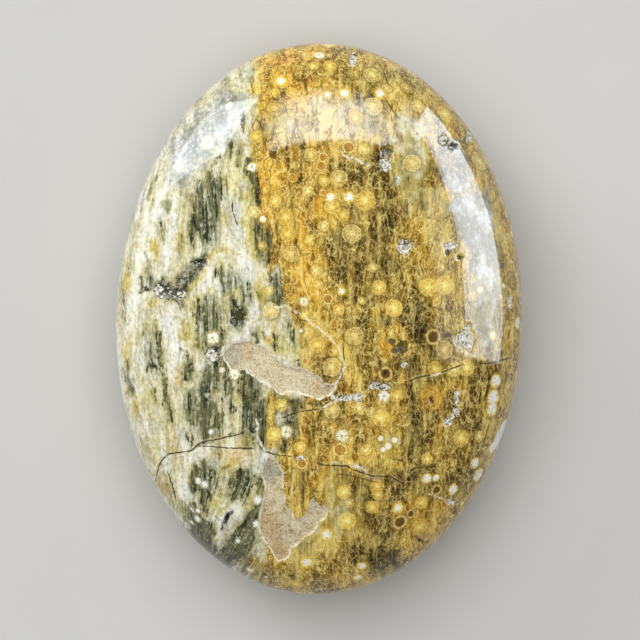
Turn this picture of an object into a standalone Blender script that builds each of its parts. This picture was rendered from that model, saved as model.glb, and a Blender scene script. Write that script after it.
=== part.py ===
"""A palm stone of ocean jasper: one piece of rock, ground to a thick oval and polished.

The stone lies on a small flat spot ground on its underside. The origin is the middle of that
spot, +Z points up through the polished face, and the long axis of the oval runs along Y.
The polish leaves two natural hollows with a rough floor and a few small vugs in the face.
"""

import math
import random

import bmesh
import bpy
from mathutils import Vector
from mathutils.geometry import tessellate_polygon

MM = 0.001

# The oval
LENGTH = 70.0 * MM
WIDTH = 51.6 * MM
DOME_RISE = 12.5 * MM  # from the girdle to the crown, and to the untouched underside
FOOT_DROP = 12.3 * MM  # from the girdle down to the flat spot
SECTION_POWER = 2.3  # 2 is a true ellipse in section, more is fuller

# How far the girdle strays from a true ellipse: (waves round it, cosine share, sine share)
GIRDLE_WAVES = ((3, 0.0010, -0.0013), (4, -0.0013, 0.0014), (5, -0.0006, -0.0015))

SPHERE_SUBDIVISIONS = 5
SINK = 0.4 * MM  # depth of the rough hollows
CUTTER_TOP = 3.0 * MM  # how far a cutter stands above the crown

# Outlines of the two rough hollows, seen from above, in millimetres from the middle
LONG_HOLLOW = (
    (-11.9, -4.5), (-11.2, -3.9), (-10.8, -3.4), (-9.3, -3.1), (-8.6, -2.9), (-8.0, -3.3),
    (-7.1, -3.5), (-6.3, -4.2), (-5.5, -5.0), (-4.2, -6.0), (-2.6, -6.3), (-1.9, -6.2),
    (-1.1, -6.6), (0.0, -7.1), (0.6, -7.8), (1.6, -8.2), (2.4, -8.0), (2.3, -8.6), (1.7, -9.4),
    (0.4, -10.0), (-0.4, -9.9), (-2.4, -9.3), (-3.5, -9.1), (-4.4, -9.6), (-4.9, -9.4),
    (-5.9, -8.5), (-7.0, -8.0), (-7.8, -7.5), (-8.6, -7.1), (-9.1, -6.6), (-10.6, -6.7),
    (-11.0, -6.4), (-11.9, -5.2),
)  # fmt: skip
BOOT_HOLLOW = (
    (-5.8, -17.5), (-5.1, -17.9), (-4.4, -18.5), (-4.0, -19.3), (-4.1, -21.2), (-3.9, -22.1),
    (-3.6, -22.7), (-3.6, -23.5), (-2.8, -24.2), (-2.6, -25.0), (-1.9, -25.3), (-1.3, -24.9),
    (-0.8, -24.2), (-0.7, -23.5), (-0.2, -22.7), (0.5, -23.4), (1.2, -23.5), (1.8, -24.0),
    (1.4, -24.9), (0.8, -25.3), (0.3, -26.2), (-1.1, -27.5), (-2.8, -28.8), (-3.1, -30.1),
    (-4.4, -30.6), (-5.3, -29.1), (-6.6, -27.1), (-6.9, -26.3), (-6.8, -24.4), (-6.3, -22.4),
    (-6.2, -21.4), (-6.7, -19.9), (-6.6, -18.7),
)  # fmt: skip

# Vugs: (across, along, width, length, depth) in millimetres
VUGS = (
    (-10.2, 0.4, 2.0, 3.2, 0.8),
    (-13.3, -5.0, 2.0, 1.8, 0.4),
    (3.4, 32.7, 1.1, 2.0, 0.4),
    (8.1, 20.0, 1.6, 2.4, 0.5),
    (10.0, -3.1, 2.3, 2.3, 0.6),
    (10.7, 9.4, 1.8, 1.9, 0.4),
    (15.0, 22.9, 1.3, 1.0, 0.4),
    (16.4, 22.1, 1.2, 1.0, 0.6),
    (16.0, 8.8, 1.1, 1.2, 0.5),
    (17.4, 8.1, 1.1, 1.2, 0.5),
    (17.3, -10.0, 1.0, 3.0, 0.4),
    (18.5, -2.1, 2.2, 2.5, 0.5),
)
VUG_ROUGHNESS = 0.22
VUG_SEED = 7


def clear_scene():
    for obj in list(bpy.data.objects):
        bpy.data.objects.remove(obj, do_unlink=True)


def polished_jasper():
    material = bpy.data.materials.new("polished_jasper")
    material.use_nodes = True
    shader = material.node_tree.nodes["Principled BSDF"]
    shader.inputs["Base Color"].default_value = (0.42, 0.31, 0.09, 1.0)
    shader.inputs["Roughness"].default_value = 0.12
    shader.inputs["Metallic"].default_value = 0.0
    return material


def girdle_swell(angle):
    """How much wider than the plain ellipse the girdle is at this angle."""
    waves = (c * math.cos(n * angle) + s * math.sin(n * angle) for n, c, s in GIRDLE_WAVES)
    return 1.0 + sum(waves)


def point_on_stone(direction, inset=0.0):
    """The point of the polished surface that a point of the unit sphere is moved to."""
    angle = math.atan2(direction.y, direction.x)
    level = math.hypot(direction.x, direction.y)
    out = min(level, 1.0) ** (2.0 / SECTION_POWER)
    rise = min(abs(direction.z), 1.0) ** (2.0 / SECTION_POWER)
    swell = girdle_swell(angle)
    x = out * (WIDTH / 2 - inset) * swell * math.cos(angle)
    y = out * (LENGTH / 2 - inset) * swell * math.sin(angle)
    z = math.copysign(rise * (DOME_RISE - inset), direction.z)
    return Vector((x, y, FOOT_DROP + z))


def crown_height(x, y):
    """Height of the polished face over a point of the base plane."""
    angle = math.atan2(y / LENGTH, x / WIDTH)
    swell = girdle_swell(angle)
    share = math.hypot(2 * x / WIDTH, 2 * y / LENGTH) / swell
    rise = max(0.0, 1.0 - share**SECTION_POWER) ** (1.0 / SECTION_POWER)
    return FOOT_DROP + DOME_RISE * rise


def new_object(name, bm):
    bmesh.ops.recalc_face_normals(bm, faces=bm.faces[:])
    mesh = bpy.data.meshes.new(name)
    bm.to_mesh(mesh)
    bm.free()
    obj = bpy.data.objects.new(name, mesh)
    bpy.context.scene.collection.objects.link(obj)
    return obj


def hide_helper(obj):
    obj.hide_render = True
    obj.display_type = "WIRE"


def cut(target, cutter):
    modifier = target.modifiers.new("cut_" + cutter.name, "BOOLEAN")
    modifier.operation = "DIFFERENCE"
    modifier.solver = "EXACT"
    modifier.object = cutter


def oval_body(inset=0.0):
    bm = bmesh.new()
    bmesh.ops.create_icosphere(bm, subdivisions=SPHERE_SUBDIVISIONS, radius=1.0)
    for vertex in bm.verts:
        vertex.co = point_on_stone(vertex.co.normalized(), inset)
    return bm


def grind_foot(bm):
    """Cuts the underside flat at height 0, so that the stone has a spot to rest on."""
    everything = bm.verts[:] + bm.edges[:] + bm.faces[:]
    below = Vector((0.0, 0.0, -1.0))
    bmesh.ops.bisect_plane(bm, geom=everything, plane_co=(0, 0, 0), plane_no=below, clear_outer=True)
    rim = [edge for edge in bm.edges if edge.is_boundary]
    bmesh.ops.edgeloop_fill(bm, edges=rim)


def hollow_cutter(name, outline, shrunken):
    """A prism over the outline whose underside follows the dome, a little below the polish."""
    points = [Vector((x * MM, y * MM, 0.0)) for x, y in outline]
    low, high = FOOT_DROP, FOOT_DROP + DOME_RISE + CUTTER_TOP
    bm = bmesh.new()
    bottom = [bm.verts.new((p.x, p.y, low)) for p in points]
    top = [bm.verts.new((p.x, p.y, high)) for p in points]
    for corners in tessellate_polygon([points]):
        bm.faces.new([bottom[i] for i in corners])
        bm.faces.new([top[i] for i in reversed(corners)])
    for i in range(len(points)):
        j = (i + 1) % len(points)
        bm.faces.new((bottom[i], bottom[j], top[j], top[i]))
    cutter = new_object(name, bm)
    cut(cutter, shrunken)
    hide_helper(cutter)
    return cutter


def vug_cutter():
    """All the vugs as one mesh of uneven pebbles, each sunk into the face to its depth."""
    dice = random.Random(VUG_SEED)
    bm = bmesh.new()
    for across, along, width, length, depth in VUGS:
        x, y = across * MM, along * MM
        centre = Vector((x, y, crown_height(x, y)))
        made = bmesh.ops.create_icosphere(bm, subdivisions=2, radius=1.0)
        for vertex in made["verts"]:
            uneven = 1.0 + dice.uniform(-VUG_ROUGHNESS, VUG_ROUGHNESS)
            size = Vector((width / 2, length / 2, depth)) * MM * uneven
            vertex.co = centre + vertex.co * size
    cutter = new_object("vugs_cutter", bm)
    hide_helper(cutter)
    return cutter


def main():
    clear_scene()
    body = oval_body()
    grind_foot(body)
    stone = new_object("stone", body)

    shrunken = new_object("stone_below_polish", oval_body(inset=SINK))
    hide_helper(shrunken)
    for name, outline in (("long_hollow_cutter", LONG_HOLLOW), ("boot_hollow_cutter", BOOT_HOLLOW)):
        cut(stone, hollow_cutter(name, outline, shrunken))
    cut(stone, vug_cutter())

    stone.data.materials.append(polished_jasper())
    stone.data.shade_smooth()
    stone.data.set_sharp_from_angle(angle=math.radians(30))


main()
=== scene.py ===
"""The looks of an ocean jasper palm stone: its polished face, rough hollows and quartz druse.

The pattern is drawn with named marks. A mark seen in the photo is placed by its pixel in the
640 by 640 frame, which the camera's own geometry turns into a place on the stone. Each mark has
a pigment or a look by name, and the sizes of the stone itself are real lengths in metres.
"""

import math
import random

import bpy
import numpy as np
from mathutils import Matrix, Vector


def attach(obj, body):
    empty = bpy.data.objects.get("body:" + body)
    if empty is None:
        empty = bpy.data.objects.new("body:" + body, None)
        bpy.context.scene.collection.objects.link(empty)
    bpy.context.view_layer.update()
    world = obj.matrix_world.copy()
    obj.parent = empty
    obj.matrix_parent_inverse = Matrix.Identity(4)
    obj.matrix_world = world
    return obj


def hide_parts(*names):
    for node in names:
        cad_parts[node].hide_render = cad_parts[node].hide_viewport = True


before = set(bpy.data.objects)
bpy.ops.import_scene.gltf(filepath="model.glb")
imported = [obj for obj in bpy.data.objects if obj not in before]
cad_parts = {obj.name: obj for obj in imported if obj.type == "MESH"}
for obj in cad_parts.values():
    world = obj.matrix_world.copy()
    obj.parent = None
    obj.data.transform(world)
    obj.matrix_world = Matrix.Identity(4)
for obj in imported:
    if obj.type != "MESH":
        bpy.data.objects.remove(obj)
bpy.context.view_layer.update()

bl_info = {
    "name": "Ocean Jasper Palm Stone",
    "version": (1, 0, 0),
    "blender": (4, 5, 0),
    "location": "3D View > Sidebar > Jasper",
    "description": "Builds a polished palm stone of orbicular jasper with its druse and its stage",
    "category": "Add Mesh",
}

MM = 0.001
CAD_NODE = "stone"
BODY = "root"

# The oval, as it was ground
LENGTH = 70.0 * MM
WIDTH = 51.6 * MM
DOME_RISE = 12.5 * MM
FOOT_DROP = 12.3 * MM
SECTION_POWER = 2.3
GIRDLE_WAVES = ((3, 0.0010, -0.0013), (4, -0.0013, 0.0014), (5, -0.0006, -0.0015))

# The net that the stone is shaped from: rings of six more points each, and every third on the underside
FACE_RINGS = 154
UNDERSIDE_STEP = 3

# What lies less than this above the girdle belongs to the sides, where there are no hollows and no pits
SIDE_MARGIN = 0.5 * MM
# Nothing is moved below this height, so that the flat spot stays flat
FOOT_MARGIN = 0.3 * MM

# The camera, which also turns a pixel of the photo into a place on the stone
FRAME_PIXELS = 640
CAMERA_HEIGHT = 0.9
FIELD_OF_VIEW = 0.0812
SENSOR = 36.0
LONG_AXIS_LEAN = math.radians(1.45)
OFF_CENTRE_PIXELS = (0.9, -1.1)
PIXEL = FIELD_OF_VIEW / FRAME_PIXELS

# Seeds of what is random
HIDDEN_ORB_SEED = 5
DRUSE_SEED = 6
ORB_CHANCE_SEED = 9
CRYSTAL_TURN_SEED = 3
CRYSTAL_SIZE_SEED = 4

# Finish
REFRACTION = 1.54  # of quartz
CONTRAST = 1.3
BRIGHTNESS = 1.27
PALEST = 0.96

# Stage
WHITE = (1.0, 1.0, 1.0)
COOL = (0.86, 0.93, 1.0)
COOLER = (0.82, 0.9, 1.0)
AIR = 0.18
FLOOR_HALF = 1.5
# Name, corner and two edges in metres from the stone, brightness, colour, and what it doesn't light.
# The cool panels only show as reflections, and the two white ones show in none.
LIGHTS = (
    ("soft_key", (-0.745, 0.634, 0.87), (0.17, 0.44, -0.2), (-0.524, -0.248, -0.85),
     4.6, WHITE, "glossy"),
    ("key_softbox", (-0.70, 0.62, 0.82), (0.16, 0.42, -0.19), (-0.50, -0.20, -0.82),
     6.6, COOLER, "diffuse"),
    ("side_softbox", (1.1, 0.1, 0.03), (0.0, 1.2, 0.0), (0.0, 0.0, 0.82), 3.8, COOL, "diffuse"),
    ("side_glow", (1.15, -0.14, 0.01), (0.0, 1.5, 0.0), (0.0, 0.0, 1.0), 6.2, COOL, "diffuse"),
    ("high_glow", (1.2, -0.2, 0.9), (0.0, 1.0, 0.0), (0.0, 0.0, 1.0), 1.4, COOL, "diffuse"),
    ("back_softbox", (-0.33, 0.57, 1.0), (0.9, 0.1, 0.0), (0.0, 0.62, 0.0), 3.2, COOL, "diffuse"),
    ("back_glow", (-0.42, 0.55, 1.02), (1.25, 0.2, 0.0), (0.0, 0.9, 0.0), 1.8, COOL, "diffuse"),
    ("overhead_fill", (-1.1, -0.5, 1.6), (1.8, 0.0, 0.0), (0.0, 1.8, 0.0), 2.6, WHITE, "glossy"),
)  # fmt: skip

# Pigments: sRGB colour, then how fibrous and how grainy the jasper is there
PIGMENTS = {
    "cream": ((214, 210, 182), 0.35, 0.00),
    "ivory": ((232, 230, 216), 0.22, 0.00),
    "lilac": ((220, 219, 212), 0.25, 0.00),
    "straw": ((214, 206, 150), 0.40, 0.05),
    "honey": ((208, 192, 116), 0.40, 0.10),
    "moss": ((158, 158, 106), 0.70, 0.00),
    "grey_green": ((160, 162, 138), 0.85, 0.00),
    "bottle": ((98, 102, 80), 0.95, 0.00),
    "mist": ((188, 187, 174), 0.50, 0.05),
    # Grey painted under the mirrored highlight at the right, so that it and the reflection give the
    # highlight's tone: painted reflection colour
    "reflection_veil": ((160, 153, 140), 0.12, 0.00),
    # Grey painted under the mirrored highlight at the upper left, so that it and the reflection give the
    # highlight's tone: painted reflection colour
    "reflection_grey": ((172, 173, 168), 0.30, 0.00),
    "chalk": ((252, 252, 246), 0.05, 0.00),
    # Smooth olive painted under the lower part of the mirrored highlight at the right, where the
    # reflection hides the pattern: painted reflection colour
    "reflection_film": ((158, 150, 96), 0.15, 0.02),
    "tan": ((184, 168, 104), 0.40, 0.00),
    "peach": ((220, 204, 168), 0.25, 0.00),
    "gold": ((216, 175, 66), 0.40, 1.00),
    "amber": ((210, 158, 40), 0.50, 0.80),
    "bronze": ((182, 150, 57), 1.00, 0.35),
    "ochre": ((188, 155, 60), 0.60, 0.80),
    "khaki": ((150, 129, 56), 1.00, 0.40),
    "olive": ((112, 94, 38), 1.00, 0.30),
    "umber": ((76, 63, 22), 1.00, 0.25),
    # Near-black painted shade in open pits and slits
    "void": ((52, 50, 30), 0.20, 0.00),
    # Base of a pit, which the bare pits darken further with painted shade
    "cave": ((124, 128, 74), 0.20, 0.00),
    "sand": ((214, 199, 160), 0.10, 0.00),
    "bone": ((237, 224, 188), 0.10, 0.00),
    "rust": ((206, 173, 116), 0.10, 0.00),
    "ash": ((158, 156, 136), 0.10, 0.00),
}

# Where cream jasper ends and golden jasper begins, from top to bottom
CREAM_EDGE = (
    (264, 40), (261, 80), (258, 110), (252, 135), (252, 160), (262, 200), (268, 240), (276, 268),
    (286, 300), (294, 330), (300, 356), (300, 372), (306, 396), (302, 420), (294, 440), (274, 464),
    (268, 480), (270, 540), (262, 600),
)  # fmt: skip

# Soft patches of pigment: pixel across, pixel down, half width, half height, lean, pigment, strength
WASHES = (
    (300, 75, 48, 52, 0, "gold", 0.9), (280, 66, 14, 26, 10, "amber", 0.5),
    (355, 80, 36, 34, 10, "khaki", 0.6), (346, 77, 8, 12, 0, "umber", 0.6),
    (395, 120, 40, 60, -20, "straw", 0.4), (300, 165, 50, 50, 0, "gold", 0.7),
    (281, 150, 9, 14, 0, "umber", 0.4), (345, 170, 18, 12, 0, "olive", 0.7),
    (385, 155, 12, 12, 0, "olive", 0.6), (300, 235, 40, 60, -8, "gold", 0.85),
    (318, 195, 7, 14, 0, "amber", 0.9), (266, 215, 6, 46, -10, "amber", 0.85),
    (272, 252, 8, 20, -14, "amber", 0.8), (376, 205, 32, 66, -5, "olive", 0.75),
    (414, 180, 18, 48, -14, "straw", 0.6), (352, 205, 16, 18, 0, "khaki", 0.5),
    (340, 250, 20, 22, 0, "olive", 0.7), (322, 236, 14, 18, 0, "khaki", 0.5),
    (380, 270, 46, 50, 0, "olive", 0.9), (350, 280, 18, 24, 0, "olive", 0.6),
    (402, 245, 12, 20, 0, "ochre", 0.7), (355, 345, 60, 45, 0, "olive", 0.7),
    (425, 345, 26, 44, 0, "umber", 0.6), (400, 285, 20, 18, 0, "ochre", 0.5),
    (372, 358, 16, 16, 0, "umber", 0.5), (300, 290, 16, 30, -12, "gold", 0.6),
    (300, 345, 24, 26, 0, "straw", 0.6), (452, 200, 24, 80, -12, "khaki", 0.5),
    (455, 310, 20, 36, 0, "khaki", 0.6), (430, 240, 24, 30, 0, "ochre", 0.6),
    (492, 250, 14, 70, -6, "straw", 0.5), (500, 190, 10, 60, -16, "ochre", 0.7),
    (490, 340, 26, 40, 0, "ochre", 0.5), (350, 345, 12, 20, 0, "honey", 0.6),
    (416, 415, 20, 62, 0, "umber", 0.65), (440, 455, 44, 60, 0, "olive", 0.8),
    (398, 402, 12, 30, 0, "gold", 0.4), (490, 410, 24, 50, 10, "ochre", 0.5),
    (388, 445, 18, 20, 0, "honey", 0.5), (372, 420, 24, 24, 0, "gold", 0.3),
    (340, 445, 30, 34, 0, "ochre", 0.8), (310, 440, 10, 34, 0, "olive", 0.7),
    (285, 430, 12, 34, 0, "ochre", 0.6), (385, 485, 46, 22, 0, "olive", 0.8),
    (335, 508, 28, 42, 0, "honey", 1.0), (350, 540, 26, 20, 0, "straw", 0.5),
    (380, 540, 22, 40, 0, "umber", 0.8), (299, 482, 14, 40, 0, "bronze", 1.0),
    (336, 480, 26, 40, 0, "bronze", 0.6), (425, 515, 22, 20, 20, "amber", 0.5),
    (479, 404, 8, 10, 0, "amber", 1.0), (325, 335, 26, 30, 0, "gold", 0.5),
    (345, 568, 60, 16, 0, "khaki", 0.7), (300, 556, 16, 20, 0, "straw", 0.6),
    (385, 565, 40, 20, 20, "umber", 0.7), (405, 530, 12, 24, 0, "amber", 0.4),
    (310, 585, 50, 12, 0, "khaki", 0.7), (226, 82, 5, 4, -40, "moss", 0.8),
    (246, 77, 7, 8, 0, "grey_green", 0.6), (198, 100, 6, 4, -45, "grey_green", 0.7),
    (181, 124, 5, 6, -35, "grey_green", 0.7), (150, 230, 18, 62, 14, "ivory", 0.7),
    (138, 300, 8, 44, 2, "ivory", 0.5), (170, 232, 10, 32, 0, "lilac", 0.8),
    (155, 250, 5, 13, -14, "honey", 0.9), (179, 236, 3.5, 14, 0, "honey", 0.6),
    (166, 203, 5, 6, 30, "moss", 0.9), (126, 260, 5, 11, 8, "straw", 0.8),
    (137, 245, 4, 4, 0, "peach", 0.7), (126, 286, 5, 12, 4, "honey", 0.9),
    (153, 302, 5, 9, 0, "honey", 1.0), (207, 212, 16, 40, 0, "grey_green", 0.9),
    (221, 185, 6, 18, 0, "grey_green", 0.8), (226, 212, 6, 34, 0, "straw", 0.7),
    (208, 193, 2.5, 6, 0, "tan", 0.9), (236, 180, 16, 26, 0, "straw", 0.6),
    (236, 224, 13, 26, 0, "lilac", 0.9), (252, 214, 6, 30, 0, "honey", 0.6),
    (246, 178, 5, 20, 0, "honey", 0.5), (250, 258, 14, 16, 0, "ivory", 0.5),
    (222, 262, 16, 10, 0, "cream", 0.7), (263, 246, 7, 22, 0, "grey_green", 0.7),
    (190, 270, 16, 8, -50, "grey_green", 0.9), (182, 292, 14, 9, -40, "grey_green", 0.8),
    (166, 290, 13, 10, 0, "mist", 0.7), (152, 280, 5, 10, 0, "mist", 0.7),
    (222, 282, 7, 16, 0, "lilac", 0.9), (231, 284, 7, 18, 0, "grey_green", 0.9),
    (208, 322, 15, 26, 0, "grey_green", 0.9), (226, 308, 4, 10, 0, "straw", 0.9),
    (183, 332, 5, 12, 0, "honey", 0.8), (168, 318, 12, 18, 0, "lilac", 0.7),
    (252, 318, 14, 20, 0, "lilac", 0.8), (244, 296, 9, 12, 0, "moss", 0.6),
    (262, 292, 7, 16, 0, "honey", 0.9), (276, 288, 6, 20, 0, "grey_green", 0.9),
    (265, 328, 12, 14, 0, "honey", 0.6), (288, 330, 9, 18, -10, "lilac", 0.7),
    (150, 350, 9, 26, -8, "mist", 0.7), (125, 350, 5, 14, 0, "honey", 0.6),
    (123, 372, 4, 12, -6, "lilac", 0.9), (132, 384, 4, 12, -12, "grey_green", 0.7),
    (172, 362, 8, 24, 0, "ivory", 0.8), (179, 375, 5, 12, 0, "peach", 0.9),
    (188, 368, 6, 14, 0, "moss", 0.7), (186, 384, 8, 7, 0, "honey", 0.6),
    (213, 382, 20, 22, 0, "grey_green", 0.8), (212, 394, 5, 8, 0, "honey", 0.8),
    (191, 405, 7, 26, 0, "grey_green", 0.8), (206, 415, 9, 34, 0, "bottle", 0.7),
    (217, 424, 8, 12, 0, "moss", 0.8), (228, 405, 5, 34, -6, "lilac", 0.9),
    (237, 412, 5, 24, 0, "straw", 0.6), (250, 405, 12, 38, 0, "bottle", 0.6),
    (262, 425, 5, 24, 0, "bottle", 0.7), (272, 412, 8, 24, 0, "honey", 0.8),
    (238, 444, 16, 8, 0, "straw", 0.6), (180, 437, 18, 12, 0, "ivory", 0.5),
    (128, 396, 5, 5, 50, "tan", 1.0), (136, 404, 9, 10, 20, "honey", 0.7),
    (150, 432, 8, 30, -16, "straw", 0.6), (170, 445, 6, 18, 0, "honey", 0.5),
    (218, 460, 34, 11, 0, "peach", 0.9), (244, 505, 12, 20, 30, "straw", 0.6),
    (232, 464, 8, 5, -40, "honey", 0.7), (205, 482, 14, 20, 0, "grey_green", 0.5),
    (163, 484, 6, 18, -24, "tan", 0.8), (182, 486, 5, 22, -12, "ivory", 0.8),
    (188, 494, 4, 12, 0, "lilac", 0.8), (180, 508, 9, 9, 0, "moss", 0.5),
    (222, 478, 8, 16, 10, "straw", 0.7), (240, 486, 16, 22, 24, "grey_green", 0.5),
    (218, 506, 10, 14, 24, "straw", 0.7), (240, 520, 12, 16, 30, "ivory", 0.6),
    (248, 536, 20, 34, 32, "grey_green", 0.4), (228, 560, 34, 20, 30, "bottle", 0.45),
    (198, 532, 14, 20, -30, "bottle", 0.5), (217, 534, 10, 8, 30, "straw", 0.5),
    (265, 572, 24, 10, 20, "khaki", 0.7), (290, 404, 12, 6, 0, "olive", 0.7),
    (316, 404, 10, 6, 0, "khaki", 0.5), (205, 365, 12, 7, 0, "lilac", 0.6),
    # Grey patches under the mirrored highlight at the upper left: painted reflection colour, not the
    # stone's own
    (204, 138, 25, 48, 37, "reflection_grey", 0.9), (232, 106, 13, 18, 35, "reflection_grey", 0.85),
    # The last patch on this line and the two on the next, lilac along the band of the top highlight, are
    # painted reflection
    (178, 170, 12, 22, 30, "reflection_grey", 0.5), (330, 124, 70, 22, 0, "lilac", 0.6),
    (282, 128, 14, 18, 30, "lilac", 0.4), (412, 118, 26, 18, 30, "lilac", 0.4),
    # Grey patches under the mirrored highlight at the right: painted reflection colour
    (450, 165, 16, 40, -26, "reflection_veil", 0.8), (473, 222, 22, 66, -14, "reflection_veil", 0.9),
    # The first patch on this line is painted reflection colour under the lower part of the right
    # highlight
    (485, 318, 16, 42, -2, "reflection_film", 0.85), (238, 315, 11, 15, 0, "cave", 1.0),
    # The first patch on this line and the last on the line above are the base of a pit, darkened further
    # by the painted shade of bare pits
    (233, 302, 5, 8, 0, "cave", 1.0), (276, 414, 12, 24, 0, "moss", 0.8),
    (292, 428, 9, 18, 0, "bottle", 0.7), (303, 430, 4, 18, 0, "amber", 0.6),
    # The first patch on this line darkens the right rim to offset the floor's reflection there: painted
    # shade
    (492, 392, 24, 62, 8, "olive", 0.55), (318, 440, 14, 44, 0, "bronze", 0.6),
    (395, 250, 14, 50, 0, "olive", 0.5), (345, 530, 30, 30, 0, "bronze", 0.5),
    (404, 345, 40, 36, 0, "umber", 0.8), (389, 340, 9, 18, 20, "gold", 0.8),
    (406, 336, 8, 16, -20, "gold", 0.8), (440, 360, 40, 30, 0, "khaki", 0.5),
    (388, 444, 12, 9, 0, "straw", 0.7), (282, 345, 16, 14, 0, "straw", 0.7),
    (146, 398, 7, 14, -14, "straw", 0.6), (324, 545, 26, 18, 0, "straw", 0.5),
    (302, 475, 8, 26, 0, "straw", 0.4), (338, 508, 18, 32, 0, "honey", 0.85),
    (250, 222, 9, 40, -8, "straw", 0.95), (250, 150, 8, 28, 0, "honey", 0.5),
    (410, 150, 16, 34, -14, "straw", 0.7), (408, 186, 12, 34, -14, "straw", 0.4),
    # The last patch on this line and both on the next are near-black painted shade in pits
    (450, 318, 12, 22, 0, "olive", 0.5), (448, 252, 3.4, 4, 0, "void", 1.0),
    (459.5, 257.5, 3.4, 3.4, 0, "void", 1.0), (454, 147, 5, 3.5, 0, "void", 1.0),
    (438, 235, 12, 50, -12, "straw", 0.35), (366, 428, 14, 22, 0, "khaki", 0.5),
    (370, 350, 10, 24, 0, "gold", 0.4), (418, 347, 24, 20, 0, "umber", 0.3),
    # The first patch on this line is painted reflection colour under the lower part of the right
    # highlight
    (487, 315, 8, 60, -4, "reflection_film", 0.3), (450, 442, 22, 26, 0, "gold", 0.3),
    (382, 264, 20, 20, 0, "umber", 0.22), (338, 552, 22, 14, 0, "gold", 0.35),
    (262, 236, 12, 20, 0, "straw", 0.4), (497, 396, 12, 26, 0, "olive", 0.35),
    (368, 480, 22, 22, 0, "umber", 0.5), (374, 560, 30, 20, 10, "umber", 0.4),
    (418, 322, 12, 26, 0, "umber", 0.4),
)  # fmt: skip

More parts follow.
